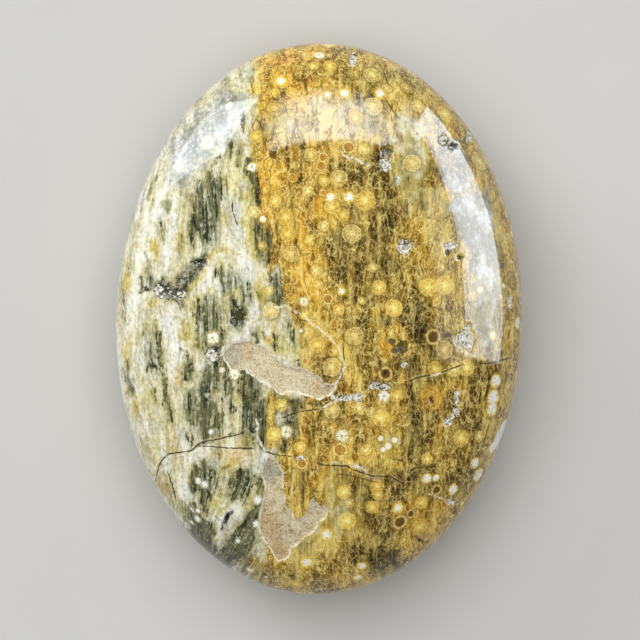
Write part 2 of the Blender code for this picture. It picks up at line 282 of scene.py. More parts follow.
# Strokes of pigment: pigment, strength, softness, then points of (across, down, half width)
STROKES = (
    ("honey", 0.9, 3, (183, 297, 1), (190, 288, 2), (200, 278, 3), (206, 262, 3), (211, 254, 3),
     (219, 248.5, 3), (228, 250, 2), (237, 254, 1)),
    ("tan", 0.7, 1.5, (208, 256, 1), (213, 250, 1.5), (220, 248, 1.5), (228, 249.5, 1)),
    ("straw", 0.9, 3, (222, 262, 2), (212, 290, 3), (194, 300, 3), (190, 330, 3), (200, 348, 3)),
    ("straw", 0.8, 3, (226, 296, 2), (234, 290, 3), (240, 300, 2)),
    ("ivory", 1, 1.2, (157, 225, 1), (146, 245, 2), (138, 265, 2.5), (134, 310, 2.5), (134, 352, 1)),
    ("mist", 0.9, 1.2, (144, 250, 1), (148, 262, 1.5), (150, 275, 2), (151, 285, 1)),
    ("umber", 0.5, 1, (145, 188, 0.6), (143, 200, 1), (141, 212, 0.6)),
    ("moss", 0.8, 1.2, (157, 176, 1.5), (152, 186, 2), (148, 200, 1.5)),
    ("moss", 0.6, 1.2, (153, 200, 1.2), (151, 214, 1.5), (151, 225, 0.8)),
    ("bottle", 0.6, 1, (134, 212, 0.5), (130, 226, 0.8), (127, 240, 0.5)),
    ("tan", 0.8, 1.2, (183, 351, 0.8), (185, 358, 1.6), (183, 368, 1)),
    ("bottle", 0.8, 1, (162, 288, 1), (166, 292, 1), (169, 298, 1)),
    ("bottle", 0.7, 0.8, (159.5, 306, 0.8), (161, 317, 0.6)),
    ("bottle", 0.5, 0.8, (163.5, 318, 0.8), (163.5, 334, 0.6)),
    ("bottle", 0.5, 0.8, (174, 322, 0.5), (174.5, 334, 0.6)),
    ("lilac", 0.9, 1.4, (227, 297, 0.8), (229, 310, 1.2), (229, 320, 1.2), (234, 330, 1)),
    ("ivory", 1, 1, (245, 320.5, 0.6), (252, 326, 1.4), (259, 324, 1)),
    ("umber", 0.8, 1, (301, 48, 0.8), (302, 73, 1), (304.5, 84, 1), (307, 94, 0.8)),
    ("umber", 0.85, 1.6, (300.5, 138, 2), (303, 146, 2.4), (301, 158, 1.2), (301, 178, 1.2)),
    ("umber", 0.75, 1.2, (300, 178, 2.5), (299, 186, 1), (291, 192, 1), (291, 208, 1.2), (294, 220, 1)),
    ("umber", 0.75, 1.2, (294, 220, 1), (295, 232, 1), (297, 240, 1), (294, 245, 0.6)),
    ("umber", 0.7, 1.2, (288, 140, 1), (289, 168, 0.8), (290, 192, 0.8)),
    ("umber", 0.7, 1.4, (274, 190, 0.8), (273, 212, 1.2), (275, 222, 1.5), (278, 236, 1.4),
     (281, 256, 1)),
    ("umber", 0.75, 3, (352, 210, 3), (357, 218, 4), (358, 226, 3)),
    ("umber", 0.7, 3, (340, 226, 2), (338, 236, 3), (337, 246, 4), (334, 252, 2)),
    ("umber", 0.55, 1.5, (272, 66, 0.8), (268, 78, 0.8), (272, 90, 0.8), (268, 106, 0.6)),
    ("umber", 0.6, 5, (410, 385, 3), (413, 415, 4), (409, 455, 3)),
    ("umber", 0.7, 2, (356, 90, 2), (358, 104, 3)),
    ("umber", 0.8, 1.4, (302.5, 480, 0.8), (302.5, 515, 0.8)),
    ("umber", 0.8, 1.4, (287, 466, 0.8), (287, 500, 0.8)),
    ("umber", 0.75, 2, (309, 432, 1), (309, 462, 1)), ("umber", 0.7, 1.5, (325, 476, 1), (324, 496, 1)),
    ("umber", 0.7, 2, (357, 420, 0.8), (357, 460, 0.8)),
    ("umber", 0.8, 2, (364, 486, 1.5), (366, 520, 2)), ("straw", 0.7, 1.5, (292, 470, 1), (292, 508, 1)),
    ("gold", 0.7, 2, (271, 398, 3), (270, 445, 4)), ("umber", 0.6, 2, (386, 184, 1), (388, 225, 2)),
    ("khaki", 0.9, 2, (378, 180, 1), (380, 260, 1.5)), ("honey", 0.6, 2, (366, 230, 1), (368, 262, 1.5)),
    ("khaki", 0.8, 2, (396, 190, 1), (400, 232, 1.5)),
    ("lilac", 1, 1.6, (218, 536, 2), (224, 520, 5), (233, 508, 4)),
    # Near-black painted shade in the open slit
    ("void", 1, 0.8, (221, 532, 0.3), (224, 524, 2.2), (228, 515, 2.8), (233, 511, 1)),
    ("umber", 0.85, 1.2, (291, 450, 0.6), (291, 482, 0.8)),
    ("umber", 0.85, 1.2, (303, 470, 0.8), (304, 512, 0.8)),
    ("bronze", 0.9, 2, (388, 345, 1.5), (392, 340, 3), (399, 341, 3), (405, 346, 4), (403, 354, 4)),
    ("peach", 0.9, 1, (401.5, 348, 1), (403, 350, 1.4)),
    ("chalk", 1, 1, (505, 421, 1.5), (500, 434, 3), (494, 447, 2.6), (491, 452, 1)),
    ("tan", 0.6, 3, (127, 392, 2), (137, 418, 3), (147, 446, 3), (153, 462, 2)),
    ("bronze", 0.7, 2, (223, 470, 1), (228, 466, 1.6), (234, 461, 1)),
    ("lilac", 0.9, 2, (180, 434, 3), (184, 444, 3), (182, 452, 1)),
    ("ivory", 1, 0.8, (353, 466, 1.4), (358, 467.5, 1.8), (365, 471, 0.6)),
    ("straw", 0.9, 1.2, (333, 463, 1.4), (340, 463, 1.6)),
    ("mist", 0.7, 1.5, (366, 473, 1), (373, 478, 2), (381, 480, 1.2)),
    ("honey", 0.8, 1, (467, 426, 0.6), (470, 446, 0.6)), ("umber", 0.6, 2, (418, 270, 1), (416, 330, 2)),
    ("khaki", 0.7, 2, (408, 300, 1), (408, 340, 1.5)),
)  # fmt: skip

# Dark windows of clear jasper in the cream, each a stroke of (across, down, half width)
WINDOWS = (
    ((194, 216, 3), (192, 232, 3.5), (193, 248, 0.8)),
    ((199, 182, 3), (200, 205, 7), (203, 226, 9), (206, 240, 5)),
    ((211, 174, 3.5), (211, 195, 5), (214, 215, 4), (212, 232, 2)),
    ((220, 172, 1), (221, 184, 2.5), (221, 200, 1)),
    ((181.5, 236, 1.2), (181, 246, 2.4), (180, 253, 0.8)), ((161.5, 222, 0.8), (162, 238, 1)),
    ((231, 142, 2.4), (231, 156, 1.4)), ((243, 114, 1.6), (243, 128, 1.4)),
    ((219, 156, 1.6), (212, 172, 1)), ((240, 150, 1.4), (238, 166, 1)),
    ((246.5, 160, 1), (246.5, 174, 2)), ((250, 164, 1.5), (254, 178, 3.6), (258, 192, 2), (258, 204, 1)),
    ((251, 188, 0.8), (252, 205, 1)), ((254, 215, 0.8), (256, 228, 1), (258, 253, 0.8)),
    ((259, 227, 1), (261, 233, 3), (263, 240, 1)), ((268, 228, 1), (268, 240, 1.4), (270, 246, 1)),
    ((263, 251, 2), (266, 256, 3.6), (268, 261, 1)), ((217.5, 271, 1), (217.5, 276, 2)),
    ((222.5, 268, 1), (223.5, 280, 2.4), (224, 293, 1)),
    ((230, 262, 1), (230.5, 274, 2.8), (231, 293, 1.4)), ((235, 274, 0.8), (236, 286, 1)),
    ((193, 303, 1), (193, 317, 1.2)), ((198, 300, 1.6), (198, 322, 2.4), (198, 345, 2)),
    ((205.5, 296, 1.6), (206, 320, 3.6), (205, 347, 2)), ((214, 300, 1), (215, 318, 3.4), (214, 334, 1)),
    ((221, 306, 1), (220.5, 322, 2), (220, 334, 1)), ((222, 333, 3), (221, 341, 3.4), (219, 348, 3)),
    ((243, 288, 1), (244, 302, 1.6)), ((249, 284, 1.4), (251, 306, 1.6)),
    ((257, 293, 1.4), (258, 297, 1)), ((274, 274, 1.6), (275, 288, 3.4), (277, 302, 2)),
    ((288, 321, 1), (291, 332, 3), (294, 345, 1.5)), ((256, 332, 1), (257, 342, 2)),
    ((263, 333, 2), (265, 338, 1)), ((275, 336, 2.4), (275, 348, 2)), ((144, 325, 1), (144, 334, 1.2)),
    ((149, 340, 0.8), (151, 356, 1.2), (152, 372, 1)), ((146, 350, 0.8), (148, 370, 0.8)),
    ((155, 322, 1.5), (158, 338, 3), (160.5, 355, 3), (162, 372, 2.8), (164, 388, 2.8), (167, 405, 3),
     (172, 421, 1.4)),
    ((157, 366, 0.8), (158, 380, 1)), ((152, 362, 1.6), (154, 370, 1.2)), ((123, 368, 1), (125, 380, 1)),
    ((127, 362, 1), (129, 368, 1.4)), ((131, 380, 1), (132, 392, 1.6)), ((154, 390, 0.8), (156, 402, 1)),
    ((187, 358, 1), (188, 370, 3), (187, 380, 2)), ((192, 358, 1), (192, 376, 1.2)),
    ((209, 364, 2), (209, 378, 3.4), (207, 392, 3)), ((216, 362, 2.4), (216, 378, 4), (214, 392, 2)),
    ((225, 362, 4.5), (227, 372, 4), (225, 384, 3.4), (227, 394, 1)), ((231, 378, 1.2), (231, 400, 1.4)),
    ((241, 374, 5), (242, 384, 5), (241, 394, 2)), ((249, 378, 5), (251, 388, 3)),
    ((188.5, 392, 2), (190, 406, 3.4), (193, 424, 2)), ((196, 398, 1), (197, 420, 1.6)),
    ((204, 396, 2), (204, 415, 4), (206, 436, 4)), ((210, 396, 1), (210, 430, 1.4)),
    ((216, 408, 1), (217, 424, 4.5)), ((223, 396, 1), (223, 440, 1)),
    ((231.5, 402, 1.4), (232, 410, 2.6), (232.5, 418, 1)), ((232, 426, 1), (232, 434, 1.4)),
    ((245, 396, 4), (245, 412, 5), (244, 430, 4)), ((255, 392, 5), (256, 412, 6.5), (252, 426, 6)),
    ((262, 400, 2), (263, 425, 3), (262, 444, 3)), ((246, 434, 1.5), (247, 442, 2.6), (247, 446, 1)),
    ((254, 436, 2), (253, 446, 1)), ((219, 446, 0.8), (219, 454, 1)),
    ((285, 438, 2), (284, 446, 3), (284, 450, 2)), ((286, 412, 2), (287, 424, 3)),
    ((186, 432, 1), (187, 439, 2)), ((192, 434, 0.8), (192, 445, 1)),
    ((204, 463, 3), (207, 474, 6), (206, 480, 4)), ((205, 490, 5), (203, 500, 4), (206, 512, 3)),
    ((214, 470, 1.4), (216, 480, 2), (214, 491, 1)), ((192, 470, 1.6), (192, 486, 3), (193, 493, 1.6)),
    ((193, 500, 1.4), (195, 510, 2)), ((234, 472, 2), (232, 484, 4), (229, 494, 2)),
    ((220, 486, 1), (220, 494, 1)), ((248, 470, 2), (246, 482, 4), (241, 496, 2)),
    ((255, 474, 1), (250, 490, 2), (244, 505, 1)), ((262, 479, 1.2), (263, 490, 2), (262, 500, 1)),
    ((257, 506, 3), (252, 520, 5), (248, 530, 3)), ((252, 526, 5), (246, 542, 8), (236, 556, 6)),
    ((240, 545, 5), (224, 560, 8), (216, 562, 5)),
    ((192, 516, 4), (196, 530, 6), (206, 545, 7), (218, 558, 6)), ((208, 522, 3), (212, 532, 4)),
    ((150, 278, 1), (152, 286, 3), (155, 290, 1)), ((181, 299, 1), (182, 305, 2.4), (180, 309, 1)),
    ((300, 405, 3), (290, 404, 3)), ((316, 403, 4), (320, 402, 2)), ((134, 262, 0.7), (133.5, 270, 0.9)),
    ((128, 264, 0.8), (127.5, 274, 1)), ((142, 276, 0.8), (142, 290, 1.4)),
    ((141, 290, 1), (150, 291, 2)), ((186, 278, 3), (196, 268, 4), (203, 257, 3)),
    ((179, 278, 3), (184, 288, 3), (181, 296, 3)), ((256, 220, 2), (259, 231, 4.5), (263, 240, 4)),
    ((262, 247, 3.4), (265, 255, 5), (268, 263, 3)), ((268, 234, 1.6), (270, 248, 2.4)),
    ((254, 224, 1.6), (256, 240, 2), (258, 256, 1.4)),
    ((248, 160, 3), (252, 172, 4.4), (257, 186, 4.4), (259, 202, 2)),
    ((196, 468, 4), (204, 482, 8), (207, 495, 5)), ((240, 472, 4), (239, 486, 6), (233, 498, 3)),
    ((259, 480, 3), (258, 498, 2)), ((190, 508, 5), (198, 524, 8), (206, 542, 7)),
    ((258, 506, 4), (246, 528, 6), (228, 550, 8)), ((164, 281, 3), (168, 296, 4), (175, 300, 2)),
    ((123, 312, 0.6), (124, 321, 1)), ((124, 294, 1), (124, 304, 1)),
)  # fmt: skip

# Orbs by look: pixel across, pixel down, radius in pixels
ORBS = {
    "gold": (
        (256, 137, 6), (430, 91.5, 5), (445, 114, 9), (365, 200.5, 10), (332, 207, 7), (343, 215, 6.5),
        (285.6, 217, 7.5), (288, 234, 7.5), (394, 308, 8.5), (379, 287.5, 7), (428, 287.5, 9),
        (445, 285, 9), (304.6, 315, 5), (317, 345, 7), (435, 369, 7), (396.5, 396, 6), (381, 418, 8.5),
        (461, 438, 8.5), (274, 434, 7), (300, 447, 5.5), (427, 459, 6), (421.5, 502.5, 7), (420, 527, 9),
        (377, 486, 6.5), (378, 495, 5.5), (372, 507, 6.5), (344, 492, 7), (347, 521, 9), (296, 584, 7),
        (281.5, 405, 6), (338.6, 310, 5.5), (467, 368, 8), (313, 66, 5), (330, 66, 6.5), (324, 181, 5),
        (275, 201, 6), (310, 240, 5),
    ),
    "ringed": (
        (275, 108, 8), (372.5, 75, 9), (373, 106, 9.5), (338.5, 178.5, 9), (352, 234, 9.5), (291, 254, 8),
        (271, 310.5, 8), (444.5, 349.5, 9), (354.7, 336, 9), (412.5, 163, 9), (332, 410.5, 8),
        (479.5, 161, 10), (371, 412, 5), (387, 88, 5), (332, 367, 9), (311, 155, 7),
    ),
    "white": (
        (281, 81, 4), (327.5, 94.5, 3.2), (345, 93, 3.8), (380, 93, 4), (330.5, 197.5, 4),
        (349, 197.5, 4.2), (341.5, 291, 3), (480, 289.5, 2.4), (492.7, 335.5, 3.2), (398, 508, 3.6),
        (327, 534.5, 4), (306.5, 562, 4.4), (362, 566, 3.6), (358, 577.5, 3.4), (462, 504, 2),
    ),
    "porcelain": (
        (263, 219, 3.4), (503.5, 286, 2.8), (509, 300, 2.6), (509.5, 306, 2.6), (517.5, 323, 6),
        (512, 234, 4), (496.2, 381, 6.4), (493.3, 397.5, 7.4), (492.4, 409, 7.4), (380.7, 438.5, 2.8),
        (394.5, 440, 3), (388, 446, 3.6), (383, 449.5, 2.8), (475, 463, 5.6), (478.5, 475, 7.4),
        (453, 489.5, 5.4), (427, 478.4, 4.6), (436, 477.8, 3.6), (516.5, 275, 2), (512, 262, 2),
    ),
    "white_eye": (
        (319, 55, 4.4), (417, 134, 5.5), (304, 301.5, 3.6), (212.5, 338, 5.5), (234.5, 375, 4),
        (342, 436, 5.5), (384, 396, 5), (208, 142.5, 6), (252, 167, 4), (286.3, 432, 5.4),
        (222, 370, 2.5),
    ),
    "orange": (
        (323, 157, 4.6), (321, 166, 5), (349, 147, 6), (328, 299, 4.8), (340, 450, 6.5), (302, 463.5, 5),
        (326, 132.5, 3), (305, 361, 3), (510, 367, 4), (293.5, 63.5, 3), (337, 88, 3),
    ),
    "dark_eye": (
        (385.5, 373.5, 7), (433, 337, 8), (400, 522, 7.5), (411, 514, 4.5), (420, 540.5, 4.2),
        (436.5, 490, 6), (423, 548, 2),
    ),
    "pale": (
        (356, 118, 8), (364, 149, 6), (406, 88, 6), (418, 106, 7), (324, 226, 5.5), (262, 246, 4.5),
        (315.6, 270, 5.5), (319, 284.5, 5), (373, 267.5, 5), (454.5, 369, 8), (359, 408, 7),
        (362, 301, 4), (269.5, 290.5, 5), (254, 212, 6), (506, 214, 4), (479, 436, 6), (350, 503, 5),
        (366, 450, 6), (308, 191, 6),
    ),
    "agate": ((431, 398, 13), (269, 340, 4)),
    "glow": (
        (198, 481, 4), (204.5, 484.5, 5), (198, 511, 3.2), (197.5, 519, 4.4), (192, 522.5, 3),
        (257.5, 500, 5.4), (256, 524, 4.4), (250, 570, 5), (211, 432, 3), (229, 106, 5), (301, 331, 2.4),
        (238, 541, 3), (266, 577, 2.4),
    ),
}  # fmt: skip

# How an orb looks from its middle outwards: (share of its radius, sRGB colour, cover)
ORB_LOOKS = {
    "gold": (
        (0.0, (252, 240, 176), 1.0), (0.3, (242, 224, 144), 0.95), (0.62, (234, 210, 122), 0.85),
        (0.84, (228, 202, 110), 0.75), (0.95, (242, 224, 144), 0.7), (1.1, (176, 150, 74), 0.45),
        (1.35, (150, 128, 62), 0.25), (1.8, (184, 154, 66), 0.0),
    ),
    "ringed": (
        (0.0, (255, 250, 220), 1.0), (0.16, (226, 206, 138), 0.9), (0.3, (244, 230, 168), 0.85),
        (0.46, (220, 200, 130), 0.75), (0.66, (232, 214, 146), 0.65), (0.8, (214, 192, 120), 0.6),
        (0.93, (244, 232, 172), 0.75), (1.05, (132, 114, 60), 0.5), (1.5, (96, 82, 34), 0.0),
    ),
    "white": (
        (0.0, (255, 255, 252), 1.0), (0.6, (255, 255, 238), 1.0), (0.95, (250, 240, 178), 0.95),
        (1.3, (238, 214, 122), 0.7), (1.8, (224, 192, 92), 0.3), (2.4, (206, 168, 60), 0.0),
    ),
    "porcelain": (
        (0.0, (178, 174, 140), 1.0), (0.16, (255, 255, 252), 1.0), (0.6, (255, 255, 246), 1.0),
        (0.82, (250, 242, 190), 0.95), (1.02, (228, 206, 124), 0.85), (1.3, (170, 142, 66), 0.4),
        (1.7, (120, 100, 44), 0.0),
    ),
    "white_eye": (
        (0.0, (130, 124, 80), 1.0), (0.16, (196, 190, 140), 1.0), (0.34, (252, 250, 226), 1.0),
        (0.8, (255, 254, 236), 1.0), (1.0, (240, 236, 204), 0.8), (1.3, (214, 204, 150), 0.35),
        (1.7, (200, 186, 120), 0.0),
    ),
    "orange": (
        (0.0, (206, 160, 86), 0.8), (0.2, (160, 116, 50), 0.8), (0.42, (204, 160, 78), 0.75),
        (0.66, (170, 128, 56), 0.75), (0.84, (226, 200, 122), 0.9), (0.98, (248, 236, 178), 0.9),
        (1.14, (190, 158, 80), 0.6), (1.36, (236, 216, 138), 0.4), (1.9, (212, 180, 84), 0.0),
    ),
    "dark_eye": (
        (0.0, (116, 96, 48), 1.0), (0.3, (106, 88, 44), 1.0), (0.56, (118, 94, 46), 0.95),
        (0.72, (204, 176, 110), 0.9), (0.84, (234, 216, 160), 0.85), (0.97, (204, 176, 104), 0.75),
        (1.15, (130, 104, 48), 0.45), (1.5, (90, 70, 24), 0.0),
    ),
    "pale": (
        (0.0, (252, 244, 196), 0.95), (0.3, (242, 228, 160), 0.85), (0.6, (232, 212, 138), 0.7),
        (0.85, (244, 230, 160), 0.6), (1.02, (188, 162, 82), 0.4), (1.4, (150, 122, 44), 0.0),
    ),
    "agate": (
        (0.0, (112, 80, 44), 1.0), (0.14, (138, 102, 52), 0.95), (0.24, (210, 176, 110), 0.8),
        (0.36, (206, 164, 74), 0.7), (0.5, (224, 188, 92), 0.7), (0.62, (202, 162, 70), 0.6),
        (0.78, (228, 194, 98), 0.55), (0.95, (206, 170, 80), 0.4), (1.4, (160, 124, 40), 0.0),
    ),
    "glow": (
        (0.0, (255, 255, 255), 1.0), (0.5, (248, 249, 236), 0.95), (0.8, (212, 214, 196), 0.7),
        (1.1, (160, 162, 144), 0.35), (1.6, (150, 150, 130), 0.0),
    ),
}  # fmt: skip

# The same for the orbs that are too small to be placed, with each share halved
SMALL_ORB_LOOK = (
    (0.0, (255, 240, 166), 0.9), (0.16, (240, 210, 106), 0.65), (0.34, (190, 152, 56), 0.4),
    (0.45, (248, 228, 144), 0.7), (0.53, (104, 82, 28), 0.55), (0.7, (110, 86, 26), 0.0),
)  # fmt: skip

# The largest share in a look has to stay under this
ORB_REACH = 2.6

# Orbs of the sides and the underside, which the photo doesn't show: how many, their radii, the chance
# that one is on the underside, and the mix of looks
HIDDEN_ORBS = 190
HIDDEN_RADII = (0.5 * MM, 1.15 * MM)
UNDERSIDE_SHARE = 0.8
HIDDEN_MIX = {
    "gold": 30, "ringed": 22, "pale": 20, "white": 14, "orange": 6, "dark_eye": 4, "white_eye": 4,
}  # fmt: skip
RIM_LEVEL = 0.985  # from here outwards the face curves down so steeply that the photo hides it

# The triangles are given their orbs in this many batches, to save memory
FACE_BATCHES = 10

# Cracks and seams, each a line of pixels
DARK_CRACKS = (
    ((156, 480), (158.7, 466.5), (163, 459), (168, 454), (179, 452.5), (190, 451), (200, 443.5),
     (206, 441), (213, 440.3), (225, 437.5), (238, 434.5), (243, 432)),
    ((200, 446), (213, 446.5), (228, 448), (251, 448.5)), ((267, 452), (278, 455), (289, 456)),
    ((284, 417), (300, 411.5), (312, 410), (320, 408.5)),
    ((319, 464), (329, 465.5), (347, 466), (351, 469), (363, 473), (372, 476), (390, 476.5), (402, 483)),
    ((407.5, 382), (416, 378), (430, 375)), ((441, 373), (450, 369), (461, 365)),
    ((478, 362.5), (485, 364), (495, 362), (509, 358)), ((232.5, 203), (232.5, 210), (236.5, 223.5)),
    ((168, 473), (172, 484), (175.5, 497)), ((343, 345), (344, 358)),
)  # fmt: skip
WHITE_SEAMS = (
    ((134, 384), (137, 390), (138.5, 400), (142, 414), (146, 428)),
    ((256, 420), (259, 427), (256, 430), (257, 437), (264, 449)),
    ((304, 316), (313, 325), (320, 329), (332, 340), (339, 348), (341, 358), (345, 365), (343, 371),
     (337, 382)),
    ((343, 155), (349, 159), (353, 157), (362, 163), (367, 165)), ((431, 376), (440, 373.5)),
    ((321, 408), (330, 404), (340, 399)), ((183, 498), (189, 505), (193, 511)),
    ((180, 455.5), (192, 454), (202, 446.5)),
    ((269, 304), (276, 308), (286, 306), (296, 312), (304, 316)), ((428, 494), (441, 498.5)),
)  # fmt: skip
BROWN_SEAMS = (
    ((386, 100), (391, 108), (398, 118)), ((378, 62), (383, 70), (386, 79), (389, 85)),
    ((252, 127), (256, 118), (262, 128)), ((274, 98), (280, 103)), ((281, 52), (286, 58)),
    ((340, 474), (350, 475.5), (364, 479), (376, 482)), ((244.5, 121), (243, 132)),
    ((226, 176), (227, 190)), ((301, 163), (301, 178)),
)  # fmt: skip

# Each kind of seam, and how far from its lines it is known, in pixels
SEAMS = ((DARK_CRACKS, 6), (WHITE_SEAMS, 7), (BROWN_SEAMS, 6))
FAR_PIXELS = 60.0  # stands for a hollow or a net that isn't there

# Outlines of the two rough hollows, in pixels
LONG_HOLLOW = (
    (223.5, 352), (229, 347.5), (232, 344), (237, 342), (244, 341.5), (250, 340.5), (255, 344),
    (262, 345.5), (268, 351), (274, 357.5), (284, 366), (297, 368.5), (302.5, 368), (309, 371.5),
    (318, 375.5), (322, 381), (330, 384.5), (336.5, 383), (336, 388), (331, 394), (320, 399), (314, 398),
    (310, 396), (298, 392.5), (289, 391), (282, 394.5), (278, 393), (270.5, 385.5), (262, 381.5),
    (255, 377), (249, 374), (245, 369.5), (233, 370), (230, 368), (227, 363.5), (223, 358),
)  # fmt: skip
BOOT_HOLLOW = (
    (269, 457.5), (275, 461), (280, 465.5), (283, 472), (282.5, 487), (283.5, 494), (286, 499),
    (286, 506), (291.5, 511), (293.5, 518), (299, 520), (304, 517.5), (307.5, 512), (308.5, 506),
    (313, 500), (318.5, 506), (324, 506.5), (328.5, 511), (325, 517.5), (320, 521), (316, 528),
    (305, 538), (291, 548), (288, 558), (283, 560.5), (278, 562), (271, 550), (261, 533.5), (259, 527),
    (260, 512), (264.5, 496), (265.5, 488), (262, 476), (263, 467),
)  # fmt: skip
SINK = 0.4 * MM
UNEVEN = 0.05 * MM  # how rough the floor of a hollow is

# Patches of pigment on the bare floor of the hollows, laid on like the soft patches
FLOOR_WASHES = (
    (232, 356, 10, 12, 0, "ash", 0.5), (262, 362, 14, 12, 0, "bone", 0.6),
    (292, 380, 16, 10, 0, "bone", 0.5), (248, 352, 8, 8, 0, "rust", 0.3),
    (318, 388, 14, 9, 0, "rust", 0.45), (328, 389, 6, 4, 0, "ash", 0.5),
    (273, 471, 11, 12, 0, "ash", 0.75), (272, 498, 9, 14, 0, "bone", 0.5),
    (267, 525, 12, 22, -14, "rust", 0.8), (279, 552, 9, 10, 0, "rust", 0.6),
    (300, 525, 12, 8, 0, "bone", 0.5), (317, 511, 10, 8, 0, "peach", 0.7),
    (292, 532, 3.4, 2.4, 0, "ash", 0.9), (281, 539, 1.4, 2.4, 0, "ash", 0.9),
    (289, 526, 1.8, 1.8, 0, "ash", 0.9),
)  # fmt: skip

# Patches of dark cells in a net of pale lines, each a stroke of (across, down, half width)
NETS = (
    ((206, 252, 3), (202, 262, 6), (192, 272, 7), (184, 280, 8), (178, 292, 7), (180, 304, 3)),
    ((160, 284, 5), (168, 290, 9), (176, 298, 4)), ((150, 286, 2), (156, 292, 3)),
    ((143, 291, 1.5), (150, 288, 2)), ((205, 352, 3), (213, 353, 8), (219, 358, 4)),
    ((184, 352, 1), (190, 360, 2.5), (191, 374, 2)), ((180, 349, 1), (186, 352, 2)),
    ((249, 330, 1.5), (256, 336, 2)),
)  # fmt: skip

# Pits and vugs: pixel across, down, half width, half height, depth in millimetres, share of white druse
PITS = (
    (238, 317, 8.5, 10, 0.8, 0.22), (234, 303, 3, 6, 0.3, 0.0), (454, 146, 4.5, 3.5, 0.6, 0.1),
    (443, 139, 6, 6, 0.35, 0.8), (448, 252, 3, 3.5, 0.5, 0.2), (451, 246, 8, 6, 0.2, 0.9),
    (459.5, 257.5, 3, 3, 0.5, 0.2), (387, 153, 5, 5.5, 0.35, 0.3), (386, 164, 7, 7, 0.2, 0.9),
    (353, 59, 5, 8, 0.35, 0.9), (406, 246, 8, 8, 0.35, 0.6), (466, 339, 10, 13, 0.4, 1.0),
    (402, 348, 6, 9, 0.16, 0.0), (391, 342, 4.5, 3.5, 0.1, 0.0), (457, 393, 3.2, 3, 0.3, 1.0),
    (456.5, 401, 2, 7, 0.3, 1.0), (456, 412, 4, 4.5, 0.35, 1.0), (452, 416.5, 3.5, 3, 0.3, 1.0),
    (448, 422, 4.2, 4.6, 0.3, 1.0), (212, 355, 7, 8, 0.3, 0.8), (432, 401, 2.4, 2.4, 0.08, 0.0),
    (162, 291, 11, 8, 0.25, 0.5), (178, 293, 9, 6, 0.2, 0.35), (298, 363, 2.4, 3.6, 0.25, 0.4),
    (336, 394, 2.4, 1.6, 0.2, 0.3), (344, 398, 9, 3.6, 0.12, 0.9), (357, 397, 7, 6, 0.2, 0.85),
    (378, 386, 14, 5, 0.15, 0.6), (333, 397, 4, 3, 0.1, 0.9), (469, 138, 3, 7, 0.2, 1.0),
    (385.5, 373, 3.5, 3.5, 0.12, 0.0), (398, 180, 3, 4, 0.1, 1.0), (156, 477, 2, 4, 0.15, 0.8),
    (300, 458, 6, 2.5, 0.1, 0.9), (420, 540.5, 3, 2.6, 0.3, 0.0), (451, 502, 5, 3.5, 0.15, 0.9),
    (509.5, 302, 2.5, 8, 0.2, 0.9), (404, 365, 4, 3, 0.1, 0.8), (292, 532, 3, 2.2, 0.2, 0.1),
    (217, 350, 3, 2, 0.3, 0.1), (199, 262, 8, 3, 0.15, 0.2),
)  # fmt: skip

# Crystals of the druse
CRYSTAL_WIDTH = 0.12 * MM
CRYSTAL_HEIGHT = 0.14 * MM
CRYSTALS_PER_PIXEL = 0.22  # in a pit that is all white


# Node trees written as sums


def srgb(red, green, blue):
    """Turns a colour of the screen, from 0 to 255, into the linear colour that light adds up in."""
    shares = (value / 255 for value in (red, green, blue))
    return tuple(s / 12.92 if s <= 0.04045 else ((s + 0.055) / 1.055) ** 2.4 for s in shares)


class Wire:
    """The value of a socket, so that a node tree can be written as a sum."""

    def __init__(self, tree, socket):
        self.tree = tree
        self.socket = socket

    def math(self, operation, *others):
        node = self.tree.nodes.new("ShaderNodeMath")
        node.operation = operation
        for slot, value in zip(node.inputs, (self, *others)):
            feed(self.tree, slot, value)
        return Wire(self.tree, node.outputs[0])

    def __add__(self, other):
        return self.math("ADD", other)

    def __radd__(self, other):
        return self.math("ADD", other)

    def __mul__(self, other):
        return self.math("MULTIPLY", other)

    def __sub__(self, other):
        return self.math("SUBTRACT", other)

    def __rsub__(self, other):
        return (self * -1.0) + other

    def __truediv__(self, other):
        return self.math("DIVIDE", other)

    def __rtruediv__(self, other):
        return self.math("POWER", -1.0) * other

    def __abs__(self):
        return self.math("ABSOLUTE")


def feed(tree, slot, value):
    """Links a wire to a socket, or sets the socket to a plain value."""
    if isinstance(value, Wire):
        tree.links.new(value.socket, slot)
    else:
        slot.default_value = value


def vector_math(operation, first, second):
    node = first.tree.nodes.new("ShaderNodeVectorMath")
    node.operation = operation
    feed(first.tree, node.inputs[0], first)
    feed(first.tree, node.inputs[1], second)
    return Wire(first.tree, node.outputs["Value" if operation == "DISTANCE" else "Vector"])


def vector_scale(vector, factor):
    node = vector.tree.nodes.new("ShaderNodeVectorMath")
    node.operation = "SCALE"
    feed(vector.tree, node.inputs[0], vector)
    feed(vector.tree, node.inputs["Scale"], factor)
    return Wire(vector.tree, node.outputs["Vector"])


def parts_of(vector):
    """The three parts of a vector or a colour."""
    node = vector.tree.nodes.new("ShaderNodeSeparateXYZ")
    feed(vector.tree, node.inputs[0], vector)
    return [Wire(vector.tree, output) for output in node.outputs]


def ease(value, start, end):
    """Rises smoothly from 0 at the start to 1 at the end."""
    node = value.tree.nodes.new("ShaderNodeMapRange")
    node.interpolation_type = "SMOOTHSTEP"
    feed(value.tree, node.inputs["Value"], value)
    feed(value.tree, node.inputs["From Min"], start)
    feed(value.tree, node.inputs["From Max"], end)
    return Wire(value.tree, node.outputs["Result"])


